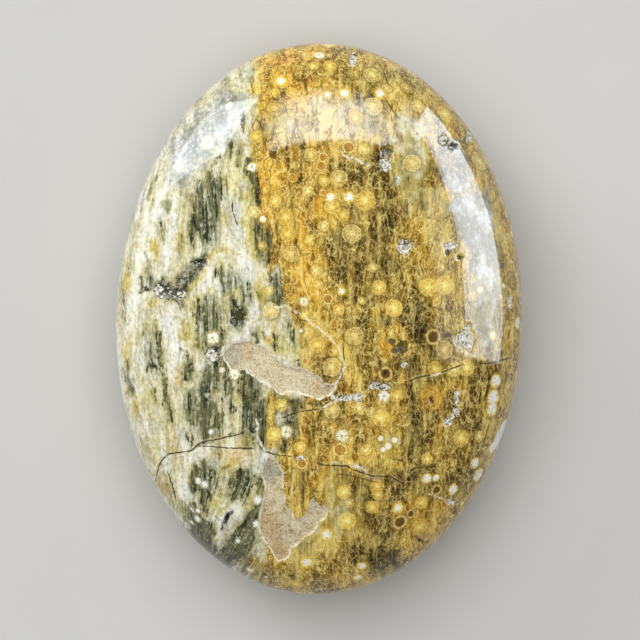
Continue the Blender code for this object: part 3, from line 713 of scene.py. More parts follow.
def blend(share, first, second):
    """Colour first where the share is 0, and colour second where it is 1."""
    node = share.tree.nodes.new("ShaderNodeMix")
    node.data_type = "RGBA"
    node.clamp_factor = True
    feed(share.tree, node.inputs["Factor"], share)
    for slot, colour in ((node.inputs[6], first), (node.inputs[7], second)):
        feed(share.tree, slot, colour if isinstance(colour, Wire) else (*colour, 1.0))
    return Wire(share.tree, node.outputs[2])


def tint(colour, share, factor):
    """Brightens or darkens a colour by a factor, as far as the share goes."""
    node = colour.tree.nodes.new("ShaderNodeMix")
    node.data_type = "RGBA"
    node.blend_type = "MULTIPLY"
    feed(colour.tree, node.inputs["Factor"], share)
    feed(colour.tree, node.inputs[6], colour)
    feed(colour.tree, node.inputs[7], factor if isinstance(factor, Wire) else (*factor, 1.0))
    return Wire(colour.tree, node.outputs[2])


def cloud_noise(vector, stretch, detail=2.0, roughness=0.5, offset=0.0):
    """Noise with the given number of cells to a millimetre, one number or one for each axis."""
    if isinstance(stretch, float):
        stretch = (stretch, stretch, stretch)
    scaled = vector_math("MULTIPLY", vector, stretch)
    moved = vector_math("ADD", scaled, (offset, offset * 1.7, offset * 0.6))
    node = vector.tree.nodes.new("ShaderNodeTexNoise")
    feed(vector.tree, node.inputs["Vector"], moved)
    node.inputs["Scale"].default_value = 1.0
    node.inputs["Detail"].default_value = detail
    node.inputs["Roughness"].default_value = roughness
    return Wire(vector.tree, node.outputs["Fac"])


def attribute(tree, name, output="Vector"):
    node = tree.nodes.new("ShaderNodeAttribute")
    node.attribute_name = name
    return Wire(tree, node.outputs[output])


def colour_ramp(value, stops):
    """A colour and a cover that follow a value from 0 to 1. The stops have colours of the screen."""
    node = value.tree.nodes.new("ShaderNodeValToRGB")
    feed(value.tree, node.inputs[0], value)
    elements = node.color_ramp.elements
    while len(elements) < len(stops):
        elements.new(0.5)
    for element, (position, colour, cover) in zip(elements, stops):
        element.position = position
        element.color = (*srgb(*colour), cover)
    return Wire(value.tree, node.outputs["Color"]), Wire(value.tree, node.outputs["Alpha"])


# Places on the stone

NOISE_VALUES = 4096
NOISE_PRIMES = (7919, 104729, 1299709)


def dome_height(x, y):
    """Height of the polished face over places of the base plane, and the girdle's height outside it."""
    angle = np.arctan2(y / LENGTH, x / WIDTH)
    waves = sum(c * np.cos(n * angle) + s * np.sin(n * angle) for n, c, s in GIRDLE_WAVES)
    share = np.hypot(2 * x / WIDTH, 2 * y / LENGTH) / (1 + waves)
    rise = np.clip(1 - share**SECTION_POWER, 0, 1) ** (1 / SECTION_POWER)
    return FOOT_DROP + DOME_RISE * rise


def camera_axes():
    """Where the camera is, and which ways are right and up in its picture."""
    lean = LONG_AXIS_LEAN
    right = np.array((math.cos(lean), math.sin(lean), 0.0))
    up = np.array((-math.sin(lean), math.cos(lean), 0.0))
    across, down = OFF_CENTRE_PIXELS
    place = right * across * PIXEL + up * down * PIXEL
    place[2] = FOOT_DROP + CAMERA_HEIGHT
    return place, right, up


def pixels_of(points):
    """Where points of the stone are in the photo's frame, in pixels across and down."""
    place, right, up = camera_axes()
    offset = points - place
    zoom = CAMERA_HEIGHT / PIXEL / -offset[:, 2]
    middle = FRAME_PIXELS / 2
    return np.stack((middle + offset @ right * zoom, middle - offset @ up * zoom), axis=1)


def points_at(pixels):
    """The points of the polished face that pixels of the photo show."""
    place, right, up = camera_axes()
    pixels = np.atleast_2d(np.asarray(pixels, dtype=float))
    middle = FRAME_PIXELS / 2
    across = (pixels[:, 0] - middle) * PIXEL / CAMERA_HEIGHT
    above = (middle - pixels[:, 1]) * PIXEL / CAMERA_HEIGHT
    height = np.full(len(pixels), FOOT_DROP)
    for _ in range(5):
        reach = place[2] - height
        flat = place[:2] + np.outer(across * reach, right[:2]) + np.outer(above * reach, up[:2])
        height = dome_height(flat[:, 0], flat[:, 1])
    return np.column_stack((flat, height))


def value_noise(places, size, seed):
    """Smooth random values from -1 to 1 that change over the given size. Places have 2 or 3 columns."""
    table = np.random.default_rng(seed).uniform(-1, 1, NOISE_VALUES)
    scaled = np.asarray(places) / size
    cell = np.floor(scaled).astype(np.int64)
    part = scaled - cell
    part = part * part * (3 - 2 * part)
    total = np.zeros(len(scaled))
    for corner in np.ndindex(*(2,) * scaled.shape[1]):
        weight = np.prod(np.where(corner, part, 1 - part), axis=1)
        spot = cell + corner
        key = spot @ np.array(NOISE_PRIMES[: scaled.shape[1]])
        key = (key ^ (key >> 7)) % NOISE_VALUES
        total += weight * table[key]
    return total


def noise_sum(places, *layers):
    """Noises added up, each given by its strength, its size and its seed."""
    return sum(strength * value_noise(places, size, seed) for strength, size, seed in layers)


def smooth_step(value):
    """Rises smoothly from 0 to 1 as the value does."""
    value = np.clip(value, 0, 1)
    return value * value * (3 - 2 * value)


def line_gap(pixels, start, end):
    """The share of a line at which it comes nearest to each pixel, and its distance there."""
    along = end - start
    share = np.clip((pixels - start) @ along / (along @ along), 0, 1)
    gap = pixels - start - share[:, None] * along
    return share, np.hypot(gap[:, 0], gap[:, 1])


def stroke_distance(pixels, stroke):
    """Distance from each pixel to a stroke of (across, down, half width) points, less its half width."""
    nearest = np.full(len(pixels), np.inf)
    points = np.array(stroke, dtype=float)
    for start, end in zip(points[:-1], points[1:]):
        share, distance = line_gap(pixels, start[:2], end[:2])
        half = start[2] + share * (end[2] - start[2])
        nearest = np.minimum(nearest, distance - half)
    return nearest


def outline_distance(pixels, outline):
    """Distance to a closed outline, less than 0 inside it."""
    corners = np.array(outline, dtype=float)
    inside = np.zeros(len(pixels), dtype=bool)
    nearest = np.full(len(pixels), np.inf)
    x, y = pixels[:, 0], pixels[:, 1]
    for start, end in zip(corners, np.roll(corners, -1, axis=0)):
        nearest = np.minimum(nearest, line_gap(pixels, start, end)[1])
        if start[1] != end[1]:
            crossing = (start[1] > y) != (end[1] > y)
            slope = (end[0] - start[0]) / (end[1] - start[1])
            inside ^= crossing & (x < start[0] + (y - start[1]) * slope)
    return np.where(inside, -nearest, nearest)


def seam_distance(pixels, seams, reach):
    """Signed distance to the nearest seam, and how near its line still is, from 1 down to 0."""
    best = np.full(len(pixels), np.inf)
    signed = np.full(len(pixels), np.inf)
    for seam in seams:
        points = np.array(seam, dtype=float)
        for start, end in zip(points[:-1], points[1:]):
            _, distance = line_gap(pixels, start, end)
            along = end - start
            side = np.sign(along[0] * (pixels[:, 1] - start[1]) - along[1] * (pixels[:, 0] - start[0]))
            nearer = distance < best
            best = np.where(nearer, distance, best)
            signed = np.where(nearer, distance * side, signed)
    return np.clip(signed, -reach, reach), smooth_step(1 - best / reach)


# The jasper's pattern, drawn on the stone's points


def pattern_pixels(points):
    """The pixel whose marks each point shows.

    Under the girdle the pattern runs on through the rock and drifts.
    """
    depth = np.clip(FOOT_DROP - points[:, 2], 0, None)
    drift = np.stack([value_noise(points, 9 * MM, seed) for seed in (11, 12)], axis=1)
    moved = points.copy()
    moved[:, :2] += depth[:, None] * (np.array((0.35, -0.2)) + 0.5 * drift)
    moved[:, 2] = np.maximum(points[:, 2], FOOT_DROP)
    return pixels_of(moved)


def lean_shift(pixels):
    """How far the fibres lean over, in pixels.

    They follow the rim on either side, and turn to the lower left under the crack at the left.
    """
    across, down = pixels[:, 0], pixels[:, 1]
    middle_down, half_length, half_width = 319, 290, 200
    right_rim, left_rim, crack_down = 440, 190, 474
    turn_left, turn_right = 182, 284
    rise = np.clip(np.abs(down - middle_down) / half_length, 0, 0.97)
    along_rim = half_width * (1 - np.sqrt(1 - rise**2))
    rims = smooth_step((across - right_rim) / 70) - smooth_step((left_rim - across) / 60)
    below = np.clip(down - crack_down, 0, 120)
    turned = smooth_step((across - turn_left) / 40) * smooth_step((turn_right - across) / 14)
    drift = 3 * value_noise(pixels, 60, 21)
    return 0.8 * along_rim * rims + 0.6 * below**2 / (below + 20) * turned + drift


def frayed(pixels, lean, reach, seed):
    """Moves each fibre along itself by its own amount, so that edges end in splinters."""
    across = pixels[:, 0] + lean
    fibre = np.stack((across * 12, pixels[:, 1]), axis=1)
    shift = noise_sum(fibre, (1.0, 30, seed), (0.6, 70, seed + 1))
    moved = pixels.copy()
    moved[:, 1] += reach * shift
    moved[:, 0] += 0.15 * reach * value_noise(pixels, 12, seed + 2)
    return moved


def palette(colours):
    """Each pigment as its linear colour, its fibre and its grain, with the colours that are settings."""
    rows = {}
    for name, (colour, fibre, grain) in PIGMENTS.items():
        linear = getattr(colours, name, srgb(*colour))
        rows[name] = np.array((*linear, fibre, grain))
    return rows


def lay(layers, cover, pigment):
    """Lays a pigment over what is there, as far as the cover goes."""
    layers += cover[:, None] * (pigment - layers)


def border_across(down):
    """Where cream jasper ends at a height of the frame."""
    edge = np.array(CREAM_EDGE, dtype=float)
    return np.interp(down, edge[:, 1], edge[:, 0])


def lay_washes(layers, pixels, warp, washes, pigments):
    """Lays soft patches of pigment over each other."""
    for across, down, half_width, half_height, lean_degrees, pigment, strength in washes:
        turn = math.radians(lean_degrees)
        dx, dy = pixels[:, 0] - across, pixels[:, 1] - down
        u = (dx * math.cos(turn) + dy * math.sin(turn)) / half_width
        v = (dy * math.cos(turn) - dx * math.sin(turn)) / half_height
        lay(layers, strength * smooth_step((1.3 - np.hypot(u, v) + warp) / 0.7), pigments[pigment])


def paint(pixels, lean, pigments):
    """Colour, fibre and grain of the ground at each pixel, laid on from large patches to small."""
    soft = frayed(pixels, lean, 2.4, 31)
    golden = smooth_step((soft[:, 0] - border_across(soft[:, 1])) / 14 + 0.5)[:, None]
    layers = pigments["cream"] * (1 - golden) + pigments["ochre"] * golden
    warp = noise_sum(pixels, (0.32, 14, 33), (0.26, 5, 34))
    lay_washes(layers, soft, warp, WASHES, pigments)
    wander = pixels + 1.2 * np.stack([value_noise(pixels, 7, seed) for seed in (35, 36)], axis=1)
    for pigment, strength, softness, *stroke in STROKES:
        edge = stroke_distance(wander, stroke) / softness / 1.5
        lay(layers, strength * smooth_step(0.5 - edge), pigments[pigment])
    return layers


def paint_floor(pixels, pigments):
    """Colour, fibre and grain of the bare floor of the hollows."""
    layers = np.tile(pigments["sand"], (len(pixels), 1))
    warp = noise_sum(pixels, (0.4, 9, 37), (0.3, 3.5, 38))
    lay_washes(layers, pixels, warp, FLOOR_WASHES, pigments)
    return layers


def window_field(pixels, lean):
    """Distance in pixels to the nearest dark window, less than 0 inside one."""
    splintered = frayed(pixels, lean, 2.2, 41)
    nearest = np.full(len(pixels), 30.0)
    for window in WINDOWS:
        nearest = np.minimum(nearest, stroke_distance(splintered, window))
    return nearest + noise_sum(pixels, (0.9, 5, 43), (0.9, 2.4, 44))


def pit_fields(pixels):
    """Depth of the pits in metres, how near one is from 0 to 1, and its share of druse, at each pixel."""
    wobble = noise_sum(pixels, (0.3, 3.5, 51), (0.2, 1.8, 52))
    depth = np.zeros(len(pixels))
    druse = np.zeros(len(pixels))
    near = np.zeros(len(pixels))
    for across, down, half_width, half_height, deep, white in PITS:
        gap = np.hypot((pixels[:, 0] - across) / half_width, (pixels[:, 1] - down) / half_height)
        cover = smooth_step((1.1 - gap + wobble) / 0.45)
        depth = np.maximum(depth, deep * MM * (1 - 0.5 * white) * cover)
        druse = np.where(cover > near, white, druse)
        near = np.maximum(near, cover)
    return depth, near, druse


def hollow_field(pixels):
    """Distance in pixels to the nearest rough hollow, less than 0 inside one."""
    wobble = noise_sum(pixels, (0.7, 5, 61), (0.4, 2.2, 62))
    distances = [outline_distance(pixels, outline) for outline in (LONG_HOLLOW, BOOT_HOLLOW)]
    return np.minimum(*distances) + wobble


# The stone


def face_levels(count):
    """Levels of the rings from the crown to the girdle, evenly spaced along the dome."""
    turn = np.linspace(0, math.pi / 2, 2000)
    out = np.sin(turn) ** (2 / SECTION_POWER) * (LENGTH + WIDTH) / 4
    height = np.cos(turn) ** (2 / SECTION_POWER) * DOME_RISE
    steps = np.hypot(np.diff(out), 0.6 * np.diff(height))
    travelled = np.concatenate(((0.0,), np.cumsum(steps)))
    return np.sin(np.interp(np.linspace(0, travelled[-1], count + 1), travelled, turn))


def zip_rings(inner, inner_count, outer, outer_count):
    """Triangles between two rings of points round one axis, given each ring's first point and count."""
    faces = []
    i = j = 0
    while i < inner_count or j < outer_count:
        edge = (inner + i % inner_count, outer + j % outer_count)
        if j * inner_count <= i * outer_count and j < outer_count:
            j += 1
            faces.append((*edge, outer + j % outer_count))
        else:
            i += 1
            faces.append((*edge, inner + i % inner_count))
    return faces


def stone_blank():
    """A ball of triangles, fine above its equator and coarser below it, that the stone is shaped from."""
    levels = face_levels(FACE_RINGS)
    rings = [(ring, 1) for ring in range(1, FACE_RINGS + 1)]
    rings += [(ring, -1) for ring in range(FACE_RINGS - UNDERSIDE_STEP, 0, -UNDERSIDE_STEP)]
    points = [(0.0, 0.0, 1.0)]
    starts = []
    for ring, side in rings:
        count = 6 * ring
        starts.append((len(points), count))
        turn = np.arange(count) * 2 * math.pi / count
        height = side * math.sqrt(max(0.0, 1 - levels[ring] ** 2))
        points += zip(levels[ring] * np.cos(turn), levels[ring] * np.sin(turn), [height] * count)
    last = len(points)
    points.append((0.0, 0.0, -1.0))
    faces = [(0, 1 + i, 1 + (i + 1) % 6) for i in range(6)]
    for index, (first, second) in enumerate(zip(starts[:-1], starts[1:])):
        if index + 1 < FACE_RINGS:
            faces += zip_rings(*first, *second)
        else:
            faces += [face[::-1] for face in zip_rings(*second, *first)]
    start, count = starts[-1]
    faces += [(last, start + (i + 1) % count, start + i) for i in range(count)]
    mesh = bpy.data.meshes.new("stone_blank")
    mesh.from_pydata(points, [], faces)
    return mesh


def new_form(name, numbers):
    """A node group that takes a geometry, named numbers and a material, and gives a geometry."""
    tree = bpy.data.node_groups.new(name, "GeometryNodeTree")
    tree.interface.new_socket("Geometry", in_out="INPUT", socket_type="NodeSocketGeometry")
    for label, value in numbers.items():
        socket = tree.interface.new_socket(label, in_out="INPUT", socket_type="NodeSocketFloat")
        socket.default_value = value
    tree.interface.new_socket("Material", in_out="INPUT", socket_type="NodeSocketMaterial")
    tree.interface.new_socket("Geometry", in_out="OUTPUT", socket_type="NodeSocketGeometry")
    return tree, tree.nodes.new("NodeGroupInput")


def chain(tree, geometry, *nodes):
    """Leads a geometry through nodes that each take one and give one."""
    for node in nodes:
        tree.links.new(geometry, node.inputs["Geometry"])
        geometry = node.outputs["Geometry"]
    return geometry


def finish_form(tree, inputs, geometry):
    """Ends a node group in realized instances and the piece's material."""
    realize = tree.nodes.new("GeometryNodeRealizeInstances")
    material = tree.nodes.new("GeometryNodeSetMaterial")
    output = tree.nodes.new("NodeGroupOutput")
    tree.links.new(inputs.outputs["Material"], material.inputs["Material"])
    tree.links.new(chain(tree, geometry, realize, material), output.inputs[0])


def stone_form():
    """Shapes a unit ball into the palm stone, a full oval dome above and below, flat at the foot."""
    numbers = {
        "Length": LENGTH, "Width": WIDTH, "Rise": DOME_RISE, "Drop": FOOT_DROP, "Power": SECTION_POWER,
    }  # fmt: skip
    tree, inputs = new_form("palm_stone_form", numbers)
    length, width, rise, drop, power = (Wire(tree, inputs.outputs[name]) for name in numbers)
    x, y, z = parts_of(Wire(tree, tree.nodes.new("GeometryNodeInputPosition").outputs[0]))
    angle = y.math("ARCTAN2", x)
    fullness = 2.0 / power
    swell = 1.0
    for waves, cosine, sine in GIRDLE_WAVES:
        turn = angle * float(waves)
        swell = turn.math("COSINE") * cosine + turn.math("SINE") * sine + swell
    level = (x * x + y * y).math("SQRT").math("MINIMUM", 1.0)
    out = level.math("POWER", fullness) * swell
    up = z.math("SIGN") * abs(z).math("POWER", fullness)
    combine = tree.nodes.new("ShaderNodeCombineXYZ")
    feed(tree, combine.inputs[0], out * width * 0.5 * angle.math("COSINE"))
    feed(tree, combine.inputs[1], out * length * 0.5 * angle.math("SINE"))
    feed(tree, combine.inputs[2], (drop + up * rise).math("MAXIMUM", 0.0))
    shape = tree.nodes.new("GeometryNodeSetPosition")
    tree.links.new(combine.outputs[0], shape.inputs["Position"])
    smooth = tree.nodes.new("GeometryNodeSetShadeSmooth")
    finish_form(tree, inputs, chain(tree, inputs.outputs["Geometry"], shape, smooth))
    return tree


def grown_mesh(name, mesh, tree, values):
    """The mesh that a tree makes of a mesh, as a plain mesh object at the origin."""
    seedling = bpy.data.objects.new(name + "_seedling", mesh)
    bpy.context.scene.collection.objects.link(seedling)
    modifier = seedling.modifiers.new("form", "NODES")
    modifier.node_group = tree
    for item in tree.interface.items_tree:
        if item.in_out == "INPUT" and item.name in values:
            modifier[item.identifier] = values[item.name]
    seedling.update_tag()
    bpy.context.view_layer.update()
    evaluated = seedling.evaluated_get(bpy.context.evaluated_depsgraph_get())
    grown = bpy.data.meshes.new_from_object(evaluated)
    bpy.data.objects.remove(seedling, do_unlink=True)
    piece = bpy.data.objects.new(name, grown)
    grown.name = name
    bpy.context.scene.collection.objects.link(piece)
    return piece


def read_vectors(data, name, count):
    """The vectors that a mesh keeps under this name, one in a row."""
    flat = np.empty(count * 3, dtype=np.float32)
    data.foreach_get(name, flat)
    return flat.reshape(-1, 3).astype(float)


def read_points(mesh):
    return read_vectors(mesh.vertices, "co", len(mesh.vertices))


def on_face(points):
    """Whether each point is of the face that the photo shows, and not of the sides."""
    return points[:, 2] > FOOT_DROP + SIDE_MARGIN


def carve(mesh, hollow_sink):
    """Sinks the hollows and the pits into the polished face, and gives the polish its slight waves."""
    points = read_points(mesh)
    normals = read_vectors(mesh.vertex_normals, "vector", len(mesh.vertices))
    pixels = pixels_of(points)
    rough = noise_sum(points, (1.0, 0.7 * MM, 71), (1.0, 2.5 * MM, 73), (0.7, 0.33 * MM, 72))
    inside = smooth_step(-hollow_field(pixels) / 1.6 + 0.3)
    hollows = inside * (hollow_sink + UNEVEN * rough)
    pits, near, druse = pit_fields(pixels)
    pits += 1.2 * UNEVEN * near * np.maximum(druse, 0.15) * rough
    depth = np.where(on_face(points), np.maximum(hollows, pits), 0.0)
    polish = noise_sum(points, (0.02 * MM, 9 * MM, 74), (0.01 * MM, 4 * MM, 75))
    polish[points[:, 2] < FOOT_MARGIN] = 0.0
    moved = points + normals * (polish - depth)[:, None]
    mesh.vertices.foreach_set("co", moved.astype(np.float32).ravel())
    mesh.update()


def store(mesh, name, domain, values):
    """Keeps values on the points or faces of a mesh: one, three or four numbers for each."""
    kinds = {1: ("FLOAT", "value"), 3: ("FLOAT_VECTOR", "vector"), 4: ("FLOAT_COLOR", "color")}
    kind, field = kinds[1 if values.ndim == 1 else values.shape[1]]
    layer = mesh.attributes.new(name, kind, domain)
    layer.data.foreach_set(field, values.astype(np.float32).ravel())


def draw_pattern(mesh, pigments):
    """Stores the pattern on the mesh: ground colour, fibres, windows, seams, hollows and druse."""
    points = read_points(mesh)
    pixels = pattern_pixels(points)
    lean = lean_shift(pixels)
    face = on_face(points)
    millimetres = PIXEL / MM
    hollow = np.where(face, hollow_field(pixels), FAR_PIXELS)
    floor = hollow[:, None] < 0.3
    ground = np.where(floor, paint_floor(pixels, pigments), paint(pixels, lean, pigments))
    store(mesh, "ground", "POINT", np.column_stack((ground[:, :3], np.ones(len(points)))))
    along_grain = np.column_stack((pixels[:, 0] + lean, -pixels[:, 1])) * millimetres
    store(mesh, "grain", "POINT", np.column_stack((along_grain, points[:, 2] / MM)))
    window = window_field(pixels, lean) * millimetres
    store(mesh, "texture", "POINT", np.column_stack((ground[:, 3:5], window)))
    above = smooth_step((points[:, 2] - FOOT_DROP) / (2 * MM) + 2.0)
    lines = [seam_distance(pixels, seams, reach) for seams, reach in SEAMS]
    store(mesh, "seams", "POINT", np.column_stack([signed for signed, _ in lines]) * millimetres)
    store(mesh, "seam_cover", "POINT", np.column_stack([near * above for _, near in lines]))
    _, near, druse = pit_fields(pixels)
    rough = np.column_stack((hollow * millimetres, near * face, druse * near * face))
    store(mesh, "rough", "POINT", rough)
    wobble = noise_sum(pixels, (1.6, 4, 63), (0.8, 2, 64))
    nets = np.min([stroke_distance(pixels, net) for net in NETS], axis=0) + wobble
    store(mesh, "nets", "POINT", np.where(face, nets, FAR_PIXELS) * millimetres)


def hidden_orbs(dice):
    """Middle, radius and look of orbs on the sides and the underside."""
    orbs = []
    looks, shares = list(HIDDEN_MIX), list(HIDDEN_MIX.values())
    while len(orbs) < HIDDEN_ORBS:
        angle = dice.uniform(0, 2 * math.pi)
        level = math.sqrt(dice.random())
        side = -1 if dice.random() < UNDERSIDE_SHARE else 1
        if side > 0 and level < RIM_LEVEL:
            continue
        out = level ** (2 / SECTION_POWER)
        height = math.sqrt(1 - level**2) ** (2 / SECTION_POWER)
        x, y = out * WIDTH / 2 * math.cos(angle), out * LENGTH / 2 * math.sin(angle)
        place = np.array((x, y, max(0.0, FOOT_DROP + side * height * DOME_RISE)))
        radius = dice.uniform(*HIDDEN_RADII)
        if all(np.linalg.norm(place - other) > radius + other_radius for other, other_radius, _ in orbs):
            look = dice.choices(looks, shares)[0]
            orbs.append((place, radius * (0.5 if look in ("white", "white_eye") else 1.0), look))
    return orbs


def all_orbs():
    """Middle, radius and look of every orb. The hidden ones keep to the golden side."""
    orbs = []
    for look, group in ORBS.items():
        places = points_at([(across, down) for across, down, _ in group])
        orbs += [(place, radius * PIXEL, look) for place, (_, _, radius) in zip(places, group)]
    for orb in hidden_orbs(random.Random(HIDDEN_ORB_SEED)):
        ((across, down),) = pixels_of(orb[0][None])
        if across > border_across(down) - 12:
            orbs.append(orb)
    return orbs


def plant_orbs(mesh):
    """Gives each triangle the orb that it shows, if any: its middle, radius, look and a chance number."""
    orbs = all_orbs()
    names = list(ORB_LOOKS)
    middles = np.array([place for place, _, _ in orbs])
    radii = np.array([radius for _, radius, _ in orbs])
    reach = np.array([ORB_LOOKS[look][-1][0] for _, _, look in orbs])
    kinds = np.array([names.index(look) for _, _, look in orbs])
    chance = np.random.default_rng(ORB_CHANCE_SEED).uniform(0, 1, len(orbs))
    centres = read_vectors(mesh.polygons, "center", len(mesh.polygons))
    chosen = []
    for batch in np.array_split(centres, FACE_BATCHES):
        gaps = (batch**2).sum(1)[:, None] + (middles**2).sum(1) - 2 * batch @ middles.T
        chosen.append((np.sqrt(np.maximum(gaps, 0)) / (radii * reach)).argmin(axis=1))
    chosen = np.concatenate(chosen)
    store(mesh, "orb_middle", "FACE", middles[chosen] / MM)
    store(mesh, "orb_look", "FACE", np.column_stack((radii[chosen] / MM, kinds[chosen], chance[chosen])))


# Finishes


def new_finish(name):
    material = bpy.data.materials.new(name)
    material.use_nodes = True
    tree = material.node_tree
    shader = tree.nodes["Principled BSDF"]
    return material, tree, shader


def object_millimetres(tree):
    node = tree.nodes.new("ShaderNodeTexCoord")
    return vector_math("MULTIPLY", Wire(tree, node.outputs["Object"]), (1000.0, 1000.0, 1000.0))


def clouded(colour, grain, golden, coarse):
    """Lays broad clouds over the ground, white and straw in the cream, dark and gold elsewhere."""
    clouds = cloud_noise(grain, (0.40, 0.26, 0.4), detail=4, roughness=0.6, offset=101.0)
    masses = cloud_noise(grain, (0.30, 0.14, 0.3), detail=3, offset=111.0)
    colour = blend(ease(clouds, 0.5, 0.62) * (1.0 - golden) * 0.55, colour, srgb(230, 231, 230))
    colour = tint(colour, ease(clouds, 0.5, 0.38) * (1.0 - golden) * 0.45, srgb(228, 218, 168))
    colour = tint(colour, ease(masses, 0.51, 0.38) * golden * 0.7, srgb(162, 150, 92))
    return blend(ease(masses, 0.52, 0.64) * coarse * 0.5, colour, srgb(226, 188, 72))


def grained(colour, place, bent, golden, fibre):
    """Works the ground finer: patches, then streaks along the fibres, then grains."""
    deep = blend(golden, srgb(150, 156, 130), srgb(180, 165, 98))
    pale = blend(golden, srgb(244, 243, 232), srgb(238, 220, 140))
    patches = cloud_noise(bent, (0.8, 0.3, 0.4), detail=3, roughness=0.45, offset=47.0)
    colour = tint(colour, ease(patches, 0.5, 0.36) * (golden * 0.5 + 0.2), deep)
    colour = blend(ease(patches, 0.5, 0.64) * (golden * 0.2 + 0.15), colour, pale)
    broad = cloud_noise(bent, (1.5, 0.14, 0.16), detail=3)
    fine = cloud_noise(bent, (4.0, 0.3, 0.32), detail=2, offset=7.0)
    streak = (broad + fine) * 0.5
    colour = tint(colour, ease(streak, 0.5, 0.40) * fibre * 0.9, deep)
    colour = blend(ease(streak, 0.53, 0.63) * fibre * 0.45, colour, pale)
    grains = cloud_noise(place, (2.4, 2.0, 2.4), detail=3, roughness=0.6, offset=3.0)
    colour = tint(colour, ease(grains, 0.48, 0.34) * (golden * -0.2 + 0.4), deep)
    return blend(ease(grains, 0.53, 0.66) * (golden * -0.15 + 0.35), colour, pale)


def curled(colour, place, bent, golden, coarse):
    """Draws thin curls between the orbs: pale ones in three sizes, and dark ones along the fibres."""
    for scale, offset in ((0.6, 23.0), (1.0, 25.0), (1.6, 28.0)):
        pale = cloud_noise(place, (scale, scale * 0.7, scale), detail=2, offset=offset)
        share = ease(abs(pale - 0.5), 0.035, 0.0) * ease(coarse, 0.1, 0.5) * 0.5
        colour = blend(share, colour, srgb(242, 226, 158))
    dark = cloud_noise(bent, (0.8, 0.18, 0.3), detail=2, offset=27.0)
    return tint(colour, ease(abs(dark - 0.5), 0.022, 0.0) * (golden * 0.6 + 0.1), srgb(142, 116, 58))


def jasper_ground(grain, place, texture):
    """The ground colour with its clouds, fibres, grains and curls."""
    fibre, coarse, _ = parts_of(texture)
    golden = ease(coarse, 0.05, 0.3)
    bent = vector_math("ADD", grain, cloud_noise(place, (0.45, 0.3, 0.45), detail=2, offset=19.0))
    colour = clouded(attribute(grain.tree, "ground", "Color"), grain, golden, coarse)
    colour = grained(colour, place, bent, golden, fibre)
    return curled(colour, place, bent, golden, coarse)


def deepened(colour):
    """Stronger contrast and purer hues, as polish gives them."""
    node = colour.tree.nodes.new("ShaderNodeGamma")
    feed(colour.tree, node.inputs["Color"], colour)
    node.inputs["Gamma"].default_value = CONTRAST
    bright = vector_scale(Wire(colour.tree, node.outputs["Color"]), BRIGHTNESS)
    return vector_math("MINIMUM", bright, (PALEST, PALEST, PALEST))


def dark_windows(colour, place, grain, window, colours):
    """Clear dark jasper between the fine fibres of the cream, darker in some gaps than in others."""
    comb = cloud_noise(grain, (4.4, 0.3, 0.35), detail=3, roughness=0.55, offset=13.0)
    crumbs = cloud_noise(place, (2.6, 2.0, 2.6), detail=2, roughness=0.6, offset=39.0)
    depth = window.math("MAXIMUM", -0.2) + (comb - 0.5) * 1.3 + (crumbs - 0.5) * 1.0
    tone = cloud_noise(grain, (1.3, 0.4, 0.4), detail=3, roughness=0.6, offset=29.0)
    colour = tint(colour, ease(window, 0.6, -0.05) * 0.5, srgb(212, 210, 164))
    dark = blend(ease(tone, 0.40, 0.62), colours.window_dark, colours.window_pale)
    threads = ease(cloud_noise(grain, (5.0, 0.35, 0.4), detail=2, offset=33.0), 0.54, 0.66)
    dark = blend(threads * 0.5, dark, srgb(172, 176, 150))
    return blend(ease(depth, 0.07, -0.24) * 0.96, colour, dark)


def bead_pattern(place, scale):
    """Distance to the nearest of many scattered beads, and two chance numbers of that bead."""
    voronoi = place.tree.nodes.new("ShaderNodeTexVoronoi")
    wobble = cloud_noise(place, 2.0, detail=1, offset=37.0)
    moved = vector_math("ADD", place, vector_scale(wobble, 0.5))
    feed(place.tree, voronoi.inputs["Vector"], moved)
    voronoi.inputs["Scale"].default_value = scale
    chance, tone, _ = parts_of(Wire(place.tree, voronoi.outputs["Color"]))
    return Wire(place.tree, voronoi.outputs["Distance"]), chance, tone


def small_orbs(colour, place, coarse):
    """Faint rings of orbs too small to be placed one by one, over a felt of still smaller beads."""
    distance, chance, _ = bead_pattern(place, 1.7)
    bead = ease(distance, 0.3, 0.0) * ease(chance, 0.45, 0.9) * coarse
    colour = blend(bead * 0.5, colour, srgb(250, 226, 132))
    distance, chance, tone = bead_pattern(place, 0.66)
    share = distance / (tone * 0.3 + 0.22)
    ring_colour, cover = colour_ramp(share * 0.5, SMALL_ORB_LOOK)
    present = ease(chance, 0.3, 0.36) * ease(coarse, 0.35, 0.9)
    return blend(cover * present * 0.75, colour, ring_colour)


